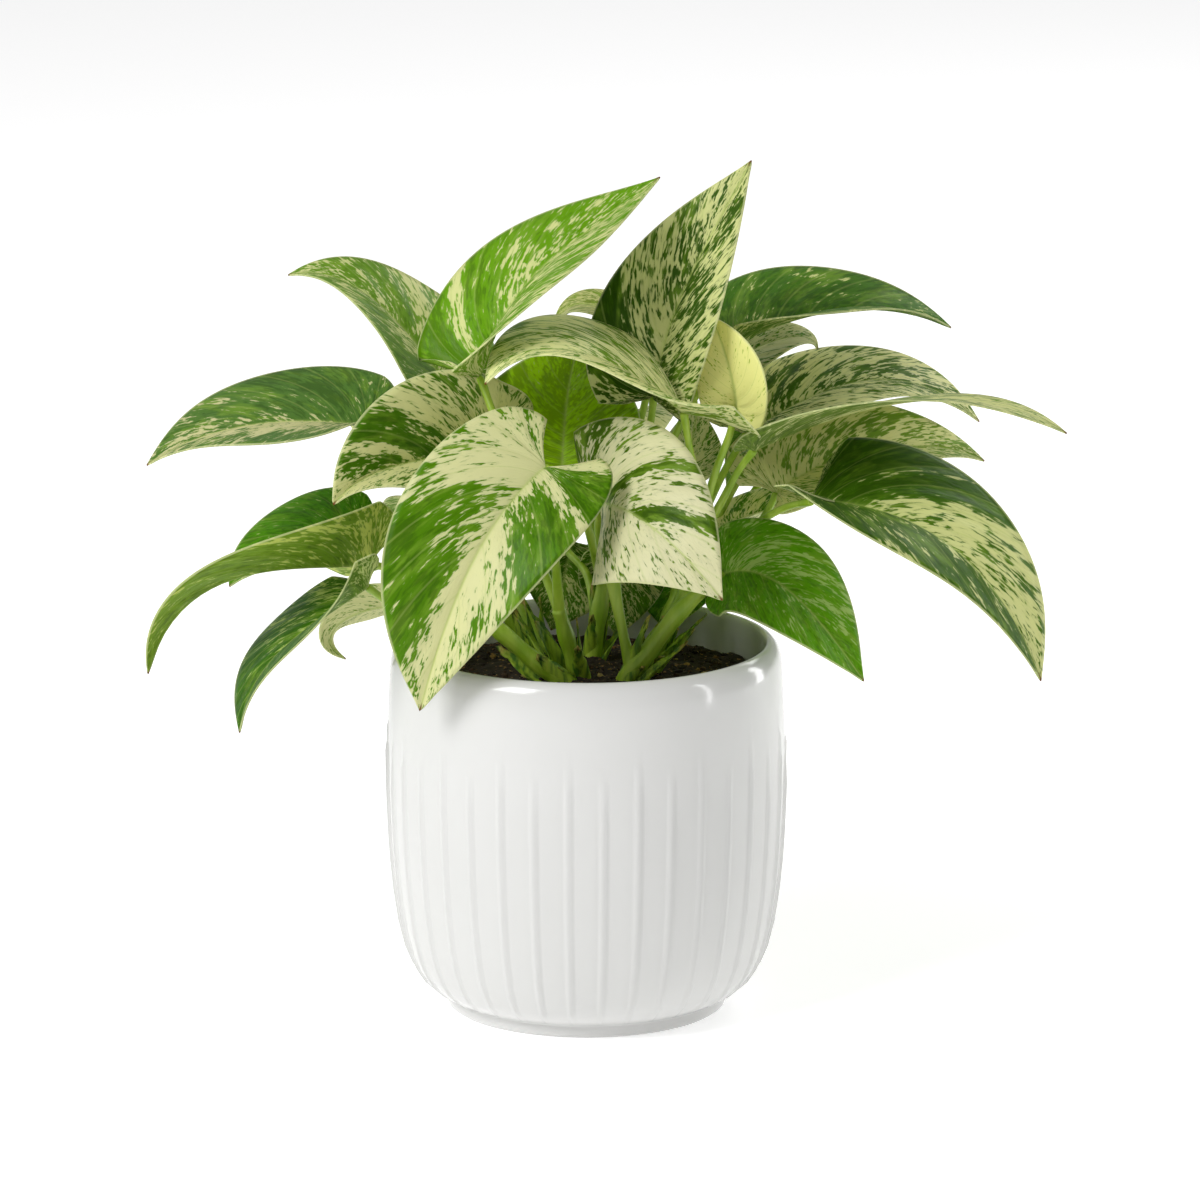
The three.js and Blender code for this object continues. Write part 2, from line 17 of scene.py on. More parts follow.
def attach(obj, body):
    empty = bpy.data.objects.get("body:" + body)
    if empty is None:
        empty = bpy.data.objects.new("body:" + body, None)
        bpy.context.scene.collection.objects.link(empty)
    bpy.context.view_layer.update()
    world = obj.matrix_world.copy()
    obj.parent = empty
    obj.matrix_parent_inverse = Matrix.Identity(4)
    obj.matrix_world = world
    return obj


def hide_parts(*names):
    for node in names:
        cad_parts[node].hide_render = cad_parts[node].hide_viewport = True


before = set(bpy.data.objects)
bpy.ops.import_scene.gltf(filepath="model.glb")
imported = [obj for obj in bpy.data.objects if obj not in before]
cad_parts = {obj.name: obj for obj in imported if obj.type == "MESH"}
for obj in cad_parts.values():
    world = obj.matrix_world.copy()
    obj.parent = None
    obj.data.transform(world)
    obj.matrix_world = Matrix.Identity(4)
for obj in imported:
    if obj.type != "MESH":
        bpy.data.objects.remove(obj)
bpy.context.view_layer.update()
mm = 0.001
random.seed(7)
print("nodes in the frame:", len(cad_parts))

# %% [markdown]
# ## The camera
#
# A picture of a plant can be taken from near or far. A near camera makes the front leaves large and
# shows much more of the pot's rim than of its foot. The rim and the foot of this pot look almost
# equally round, so the camera stands far away with a long lens, a little above the leaves.

# %% Place the camera
aim = Vector((4.5, 0, 137.1)) * mm
camera_distance = 2.6
camera_elevation = math.radians(13.3)
sensor = 36
width_at_aim = 0.3965

camera_data = bpy.data.cameras.new("camera")
camera_data.sensor_width = sensor
camera_data.lens = sensor * camera_distance / width_at_aim
camera = bpy.data.objects.new("camera", camera_data)
back = Vector((0, -math.cos(camera_elevation), math.sin(camera_elevation)))
camera.location = aim + back * camera_distance
camera.rotation_euler = (math.pi / 2 - camera_elevation, 0, 0)
bpy.context.scene.collection.objects.link(camera)
bpy.context.scene.camera = camera
print("lens in mm:", round(camera_data.lens))

# %% [markdown]
# ## Small helpers
#
# A material is a short graph of nodes. Written out by hand, each node takes several lines, so one
# helper adds a node and sets or links its sockets, and others stand for one sum, one soft step, one
# noise or one bump.

# %% Node helpers
# The share and the two colours among the sockets of a Mix node that mixes colours.
mix_inputs = (0, 6, 7)
mix_output = 2


def add_node(tree, kind, sockets=None, **settings):
    node = tree.nodes.new("ShaderNode" + kind)
    for key, value in settings.items():
        setattr(node, key, value)
    for key, value in (sockets or {}).items():
        if isinstance(value, bpy.types.NodeSocket):
            tree.links.new(value, node.inputs[key])
        else:
            node.inputs[key].default_value = value
    return node


def sum_of(tree, kind, *values):
    return add_node(tree, "Math", dict(enumerate(values)), operation=kind).outputs[0]


def soft_step(tree, value, low, high):
    sockets = {"Value": value, "From Min": low, "From Max": high}
    return add_node(tree, "MapRange", sockets, interpolation_type="SMOOTHSTEP").outputs["Result"]


def blend_colours(tree, share, first, second):
    node = add_node(tree, "Mix", dict(zip(mix_inputs, (share, first, second))), data_type="RGBA")
    return node.outputs[mix_output]


def grain(tree, vector, scale, detail=2.0, distortion=0.0):
    sockets = {"Vector": vector, "Scale": scale, "Detail": detail, "Distortion": distortion}
    return add_node(tree, "TexNoise", sockets).outputs["Fac"]


def attribute(tree, name, socket="Fac"):
    return add_node(tree, "Attribute", attribute_name=name).outputs[socket]


def own_place(tree):
    return add_node(tree, "TexCoord").outputs["Object"]


def bump_skin(tree, shader, height, distance, strength):
    """Makes a skin uneven by a field of heights, with the distance in metres."""
    bump = add_node(tree, "Bump", {"Height": height, "Distance": distance, "Strength": strength})
    tree.links.new(bump.outputs["Normal"], shader.inputs["Normal"])


def finish(name, roughness, colour=(1, 1, 1, 1)):
    """A new material, with its tree of nodes and its shader."""
    material = bpy.data.materials.new(name)
    material.use_nodes = True
    shader = material.node_tree.nodes["Principled BSDF"]
    shader.inputs["Base Color"].default_value = colour
    shader.inputs["Roughness"].default_value = roughness
    return material, material.node_tree, shader


def tint(text):
    """The linear colour of a tint that is written as on screens."""
    channels = [int(text[i:i + 2], 16) / 255 for i in (1, 3, 5)]
    linear = [c / 12.92 if c <= 0.04045 else ((c + 0.055) / 1.055) ** 2.4 for c in channels]
    return (*linear, 1)


print("a middle grey:", [round(c, 2) for c in tint("#808080")])

# %% [markdown]
# ## Helpers for pieces
#
# Operators act on all that is selected, so each new piece starts with nothing selected. A finished
# piece is told to the frame: which body it rides on, what it is made of and which solid it replaces.

# %% Mesh helpers


def start_piece(name):
    """Deselects all, so that the operators that follow act on the new primitive alone."""
    if bpy.context.object and bpy.context.object.mode == "EDIT":
        bpy.ops.object.mode_set(mode="OBJECT")
    bpy.ops.object.select_all(action="DESELECT")
    print("making", name)


def dress(piece, name, nodes=(), materials=()):
    """Names a finished piece, gives it its materials and tells the frame what it stands for."""
    piece.name = name
    piece.data.name = name
    for material in materials:
        piece.data.materials.append(material)
    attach(piece, "root")
    if nodes:
        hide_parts(*nodes)
    return piece


def apply_modifier(piece, kind, **settings):
    modifier = piece.modifiers.new(kind.lower(), kind)
    for key, value in settings.items():
        setattr(modifier, key, value)
    bpy.ops.object.modifier_apply(modifier=modifier.name)


def stand_in_scene(name, data):
    thing = bpy.data.objects.new(name, data)
    bpy.context.scene.collection.objects.link(thing)
    return thing


def join_pieces(pieces):
    """Makes one piece, the first, of several."""
    bpy.ops.object.select_all(action="DESELECT")
    for piece in pieces:
        piece.select_set(True)
    bpy.context.view_layer.objects.active = pieces[0]
    bpy.ops.object.join()
    return pieces[0]


def extrude_rings(rings):
    """Runs the selected ring of edges up through (radius, height) pairs, in millimetres."""
    radius, height = rings[0]
    for next_radius, next_height in rings[1:]:
        rise = (next_height - height) * mm
        bpy.ops.mesh.extrude_region_move(TRANSFORM_OT_translate={"value": (0, 0, rise)})
        ratio = next_radius / radius
        bpy.ops.transform.resize(value=(ratio, ratio, 1), center_override=(0, 0, 0))
        radius, height = next_radius, next_height


def raise_wall(name, rings, columns):
    """A closed, round body: a disc whose edge runs through the rings and is merged at the last."""
    start_piece(name)
    radius, height = rings[0]
    bpy.ops.mesh.primitive_circle_add(
        vertices=columns, radius=radius * mm, fill_type="TRIFAN", location=(0, 0, height * mm))
    body = bpy.context.object
    bpy.ops.object.transform_apply(location=True)
    bpy.ops.object.mode_set(mode="EDIT")
    bpy.ops.mesh.region_to_loop()
    extrude_rings(rings)
    bpy.ops.mesh.merge(type="CENTER")
    bpy.ops.mesh.select_all(action="SELECT")
    bpy.ops.mesh.normals_make_consistent(inside=False)
    bpy.ops.mesh.select_all(action="DESELECT")
    bpy.ops.object.mode_set(mode="OBJECT")
    print("faces:", len(body.data.polygons))
    return body


# %% [markdown]
# ## The floor
#
# The plant stands before plain white. A studio gets that with a wide pale sheet, lit so well that
# it looks the same all over. Here the floor glows a little of itself. The standard view transform is
# used, because a filmic one would turn the white floor and the cream leaves grey.

# %% Lay the floor
floor_size = 40
floor_white = (0.93, 0.93, 0.93, 1)
floor_glow = 0.38
bpy.context.scene.view_settings.view_transform = "Standard"

start_piece("floor")
bpy.ops.mesh.primitive_plane_add(size=floor_size)
floor = bpy.context.object
floor.name = "floor"
white_floor, tree, shader = finish("floor_paint", roughness=0.9, colour=floor_white)
shader.inputs["Emission Color"].default_value = (1, 1, 1, 1)
shader.inputs["Emission Strength"].default_value = floor_glow
floor.data.materials.append(white_floor)
print("floor in metres:", floor_size)

# %% [markdown]
# ## The light
#
# One large soft window on the left gives the leaves their shape, and the pale room fills the
# shadows. The room is darker to the right, so that the pot turns grey on that side. A light behind
# the plant shines through the blades, and two narrow ones on the right shine on the glaze.

# %% Light the room
pale_wall = (1, 1, 1, 1)
dark_wall = (0.15, 0.15, 0.15, 1)
wall_fade = (-0.5, 0.9)
room_strength = 0.62

room = bpy.data.worlds.new("room")
room.use_nodes = True
tree = room.node_tree
direction = add_node(tree, "TexCoord").outputs["Generated"]
rightward = add_node(tree, "SeparateXYZ", {"Vector": direction}).outputs["X"]
walls = blend_colours(tree, soft_step(tree, rightward, *wall_fade), pale_wall, dark_wall)
tree.links.new(walls, tree.nodes["Background"].inputs["Color"])
tree.nodes["Background"].inputs["Strength"].default_value = room_strength
bpy.context.scene.world = room


def soft_light(name, place, size, watts):
    data = bpy.data.lights.new(name, "AREA")
    data.shape = "RECTANGLE"
    data.size, data.size_y = size
    data.energy = watts
    lamp = stand_in_scene(name, data)
    lamp.location = place
    lamp.rotation_euler = (aim - Vector(place)).to_track_quat("-Z", "Y").to_euler()


soft_light("window", place=(-1.3, -1.1, 1.5), size=(0.9, 0.9), watts=32)
soft_light("back_light", place=(1.0, 1.3, 1.4), size=(0.8, 0.8), watts=9)
soft_light("right_strip", place=(1.45, -0.4, 0.5), size=(0.1, 1.1), watts=4)
soft_light("far_strip", place=(1.3, 0.75, 0.5), size=(0.2, 1.1), watts=6)
print("lights:", len(bpy.data.lights))

# %% [markdown]
# ## The pot
#
# The real pot is slip-cast: a small foot, a rounded belly, a plain band and a thick soft lip.
# Spinning a profile would give this body, and so would a lathe modifier. Here a circle is extruded
# ring by ring and scaled, as a potter pulls a wall up, because the columns of points then stand
# where the ribs have to be, and the rings where the ribs end.

# %% Throw the pot
pot_columns = 360

outside = [
    (45.4, 0), (46.2, 0.6), (46.5, 1.6), (46.5, 3.3), (46.4, 3.9), (47.2, 4.5), (48.6, 5), (51.4, 7),
    (54.7, 10), (57.6, 14.5), (59.9, 20), (62.1, 29), (63.7, 40), (64.6, 49), (65.2, 58), (65.6, 67),
    (65.9, 76), (66, 87.5), (65.98, 90.5), (65.95, 92.5), (65.88, 95.5), (65.8, 97.5), (65.6, 106),
    (65.3, 111), (64.9, 116),
]
lip = [
    (64.5, 118.5), (63.9, 120.4), (63.1, 121.9), (62.2, 122.9), (61.2, 123.6), (60.3, 123.8),
    (59.7, 123.4), (59.3, 122.4), (59.2, 121),
]
inside = [(59.2, 116), (59.6, 102), (60, 88), (59.2, 58), (56, 30), (50, 14), (41, 8), (20, 8), (1, 8)]

pot = raise_wall("pot", outside + lip + inside, pot_columns)

# %% [markdown]
# ## The ribs
#
# The thin raised ribs of the pot end at two heights in turn. They could be bars that are joined to
# the wall, but a thick glaze leaves no crease at their feet. So each rib is a column of the wall
# itself, scaled outwards in two steps. The first step stops short of the top, so that the rib fades
# out there, and smooth shading rounds it.

# %% Raise the ribs
rib_count = 36
rib_turn = 360 / rib_count
first_rib = 5
rib_foot = 5
rib_tops = (92.5, 97.5)
rib_height = 0.85
rib_fade = 8
wall_slack = 0.2

height_of = [round(vertex.co.z / mm, 2) for vertex in pot.data.vertices]
radius_at = {height: radius for radius, height in outside}


def select_ribs(short):
    """Selects the middle column of each rib up to `short` millimetres below its top."""
    chosen = 0
    for vertex, height in zip(pot.data.vertices, height_of):
        x, y = vertex.co.x / mm, vertex.co.y / mm
        turn = math.degrees(math.atan2(x, -y)) - first_rib
        rib = round(turn / rib_turn)
        middle = abs(turn - rib * rib_turn) < rib_turn / 100
        outer = math.hypot(x, y) > radius_at.get(height, math.inf) - wall_slack
        vertex.select = middle and outer and rib_foot < height < rib_tops[rib % 2] - short
        chosen += vertex.select
    return chosen


grown = 1 + rib_height / 2 / outside[-1][0]
for short in (rib_fade, 0):
    points_raised = select_ribs(short)
    bpy.ops.object.mode_set(mode="EDIT")
    bpy.ops.transform.resize(value=(grown, grown, 1), center_override=(0, 0, 0))
    bpy.ops.object.mode_set(mode="OBJECT")
bpy.ops.object.shade_smooth()
print("points on the ribs:", points_raised)

# %% [markdown]
# ## The glaze
#
# A white glaze is thicker in some places than in others, so its white changes a little, and slow
# waves in it bend what it mirrors. Both are noise here, one as a tint and one as a bump. A thin
# clear coat makes the highlights on the lip sharp.

# %% Glaze it
glaze, tree, shader = finish("white_glaze", roughness=0.14)
place = own_place(tree)
cloud = grain(tree, place, scale=22, detail=3)
white = blend_colours(tree, cloud, tint("#cacac8"), tint("#d0d0ce"))
tree.links.new(white, shader.inputs["Base Color"])
waves = grain(tree, place, scale=60, detail=2)
bump_skin(tree, shader, waves, distance=0.0002, strength=0.25)
shader.inputs["Coat Weight"].default_value = 0.1
shader.inputs["Specular IOR Level"].default_value = 0.35
shader.inputs["Coat Roughness"].default_value = 0.04
dress(pot, "glazed_pot", ["pot"], [glaze])
print("glazed:", pot.name)

# %% [markdown]
# ## The soil
#
# Potting mix is dark and crumbly, with paler bits of bark and fibre. One displaced surface alone
# looks like clay, and a pot full of loose grains would be heavy. So a lumpy surface fills the pot
# first, and crumbs come on top of it in the next step.

# %% Fill the pot
soil_columns = 96
soil_level = 110.6
soil_radius = 58
soil_rise = 2
soil_sides = [(40.7, 8.3), (49.7, 14), (55.7, 30), (58.9, 58), (59.7, 88), (59.2, 108.5), (58.6, 110)]
lumps = ((1.6, 11), (1.1, 4.5), (0.8, 2.1))


def dome(reach):
    """How high the even dome of the soil stands at a distance from the pot's axis."""
    return soil_level + soil_rise * (1 - (reach / soil_radius) ** 2)


def lump(x, y):
    """How far the soil rises above its even dome, in millimetres."""
    spot = Vector((x, y, 0))
    return sum(height * noise.noise(spot / width) for height, width in lumps)


soil_top = [(reach, dome(reach)) for reach in range(soil_radius, 0, -2)]
soil = raise_wall("soil", soil_sides + soil_top, soil_columns)
for vertex in soil.data.vertices:
    if vertex.co.z > (soil_level - 0.1) * mm:
        vertex.co.z += lump(vertex.co.x / mm, vertex.co.y / mm) * mm
bpy.ops.object.shade_smooth()

mix, tree, shader = finish("potting_mix", roughness=0.95)
place = own_place(tree)
speck = soft_step(tree, grain(tree, place, scale=620, detail=3), low=0.6, high=0.68)
peat = grain(tree, place, scale=130, detail=4)
ground = blend_colours(tree, peat, tint("#100a05"), tint("#302011"))
ground = blend_colours(tree, speck, ground, tint("#8a6a43"))
tree.links.new(ground, shader.inputs["Base Color"])
bump_skin(tree, shader, grain(tree, place, scale=500, detail=5), distance=0.001, strength=0.9)
dress(soil, "potting_soil", ["soil"], [mix])

# %% [markdown]
# ## The crumbs
#
# Loose crumbs of bark lie half sunk in the soil. A particle system could scatter them, but plain
# copies are easier to export. Each is a small ball of twenty faces with its points jittered, and a
# tone of its own, most of them dark.

# %% Scatter crumbs
crumb_count = 1500
crumb_reach = 57.5
crumb_sizes = (0.25, 0.3, 0.4, 0.5, 0.7, 1.1)
crumb_spin = 6.28
crumb_tones = [tint(t) for t in ("#22150a", "#4a3217", "#8a642e", "#c49a50", "#e2c682")]
tone_fall = 0.7

start_piece("crumbs")
bpy.ops.mesh.primitive_ico_sphere_add(subdivisions=1, radius=mm)
crumb = bpy.context.object
crumbs = []
for _ in range(crumb_count):
    reach = crumb_reach * math.sqrt(random.random())
    turn = random.uniform(0, 2 * math.pi)
    x, y = reach * math.cos(turn), reach * math.sin(turn)
    height = dome(reach) + lump(x, y)
    mesh = crumb.data.copy()
    for vertex in mesh.vertices:
        vertex.co *= random.uniform(0.75, 1.25)
    size = random.choice(crumb_sizes)
    shape = Matrix.Diagonal((size * random.uniform(0.8, 1.7), size, size * 0.7, 1))
    spin = Matrix.Rotation(random.uniform(0, crumb_spin), 4, "Z")
    spin = spin @ Matrix.Rotation(random.uniform(-0.5, 0.5), 4, "X")
    mesh.transform(Matrix.Translation((x * mm, y * mm, height * mm)) @ spin @ shape)
    tone = mesh.color_attributes.new("tone", "FLOAT_COLOR", "POINT")
    colour = crumb_tones[min(int(random.expovariate(tone_fall)), len(crumb_tones) - 1)]
    tone.data.foreach_set("color", list(colour) * len(mesh.vertices))
    crumbs.append(stand_in_scene("crumb", mesh))
bpy.data.objects.remove(crumb)
soil_crumbs = join_pieces(crumbs)

bark, tree, shader = finish("bark_crumbs", roughness=0.9)
mottle = grain(tree, own_place(tree), scale=900, detail=2)
shade = blend_colours(tree, mottle, tint("#1d120a"), attribute(tree, "tone", "Color"))
tree.links.new(shade, shader.inputs["Base Color"])
dress(soil_crumbs, "soil_crumbs", [], [bark])
print("crumbs:", crumb_count)

# %% [markdown]
# ## The flat leaf
#
# A pothos blade is heart-shaped, with a long tip and side veins that leave the midrib and sweep
# forward to the margin. All of them are grown from one flat pattern. A grid is a good start, because
# its rows can become the veins: each row is laid along one, from the midrib to the margin. The
# first rows all start where the stalk joins, so their ends are merged there. The grid keeps its
# even texture map, which now counts veins one way and runs along them the other way, and that is
# just what a marbled pattern needs.

# %% Shape the flat leaf
rows = 52
columns = 36
lobe_share = 0.4
lobe_line = ((-0.13, 0.38), (-0.13, 0.75), (0.04, 1), (0.26, 1))
side_line = ((0.26, 1), (0.58, 1), (0.84, 0.28), (1, 0))
fan_share = 0.25
vein_crowding = 2.2
midrib_crowding = 1.3
sweep = (0.3, 0.55)
same_point = 1e-5


def cubic(t, points):
    shares = ((1 - t) ** 3, 3 * (1 - t) ** 2 * t, 3 * (1 - t) * t * t, t ** 3)
    return tuple(sum(s * p[i] for s, p in zip(shares, points)) for i in (0, 1))


def margin(vein):
    """Where a vein ends, in leaf lengths and half widths, with vein from 0 at the notch to 1."""
    if vein < lobe_share:
        return cubic(vein / lobe_share, lobe_line)
    return cubic((vein - lobe_share) / (1 - lobe_share), side_line)


def vein_point(vein, along):
    """A point of a vein, which starts along the midrib and is pulled forward on its way out."""
    end_x, end_y = margin(vein)
    start = max(0, (vein - fan_share) / (1 - fan_share)) ** vein_crowding
    pull_x, pull_y = start + sweep[0] * (end_x - start), sweep[1] * end_y
    shares = ((1 - along) ** 2, 2 * (1 - along) * along, along ** 2)
    return (
        shares[0] * start + shares[1] * pull_x + shares[2] * end_x,
        shares[1] * pull_y + shares[2] * end_y,
    )


start_piece("flat leaf")
bpy.ops.mesh.primitive_grid_add(x_subdivisions=rows, y_subdivisions=columns, size=2)
flat_leaf = bpy.context.object
mesh = flat_leaf.data
mesh.uv_layers[0].name = "veins"
vein_number = mesh.attributes.new("vein", "FLOAT", "POINT")
across_leaf = mesh.attributes.new("across", "FLOAT", "POINT")
for vertex in mesh.vertices:
    vein, side = (vertex.co.x + 1) / 2, math.copysign(1, vertex.co.y)
    along = abs(vertex.co.y) ** midrib_crowding
    vein_number.data[vertex.index].value = vein
    across_leaf.data[vertex.index].value = side * along
    x, y = vein_point(vein, along)
    vertex.co = (x, side * y, 0)
for loop in mesh.loops:
    spot = mesh.uv_layers["veins"].data[loop.index].uv
    middle = spot.y - 0.5
    spot.y = 0.5 + math.copysign(0.5 * abs(2 * middle) ** midrib_crowding, middle)
bpy.ops.object.mode_set(mode="EDIT")
bpy.ops.mesh.select_all(action="SELECT")
bpy.ops.mesh.remove_doubles(threshold=same_point)
bpy.ops.object.mode_set(mode="OBJECT")
print("flat leaf points:", len(mesh.vertices))

# %% [markdown]
# ## The leaves, one by one
#
# Each leaf has its own midrib in space, its own turn, fold and curl. They could be bent by hand
# with a lattice or a curve modifier, but then the thin blades would drift away from the solids that
# they stand for. So the numbers here are the same as in the solids: four points of the midrib, how
# the face turns about it, the half widths, and what isn't usual about the leaf.
#
# The rest is the pattern. The first number of a pair in `left_green`, `right_green` or `green`,
# which is both, is a vein from the notch at 0 to the tip at 1, and the second is the share of green
# there. `middle` takes green away along the midrib of each half, from the vein `middle_from` on.
# `tone` is the finish, and `pale` and `deep` are colours of the leaf's own.

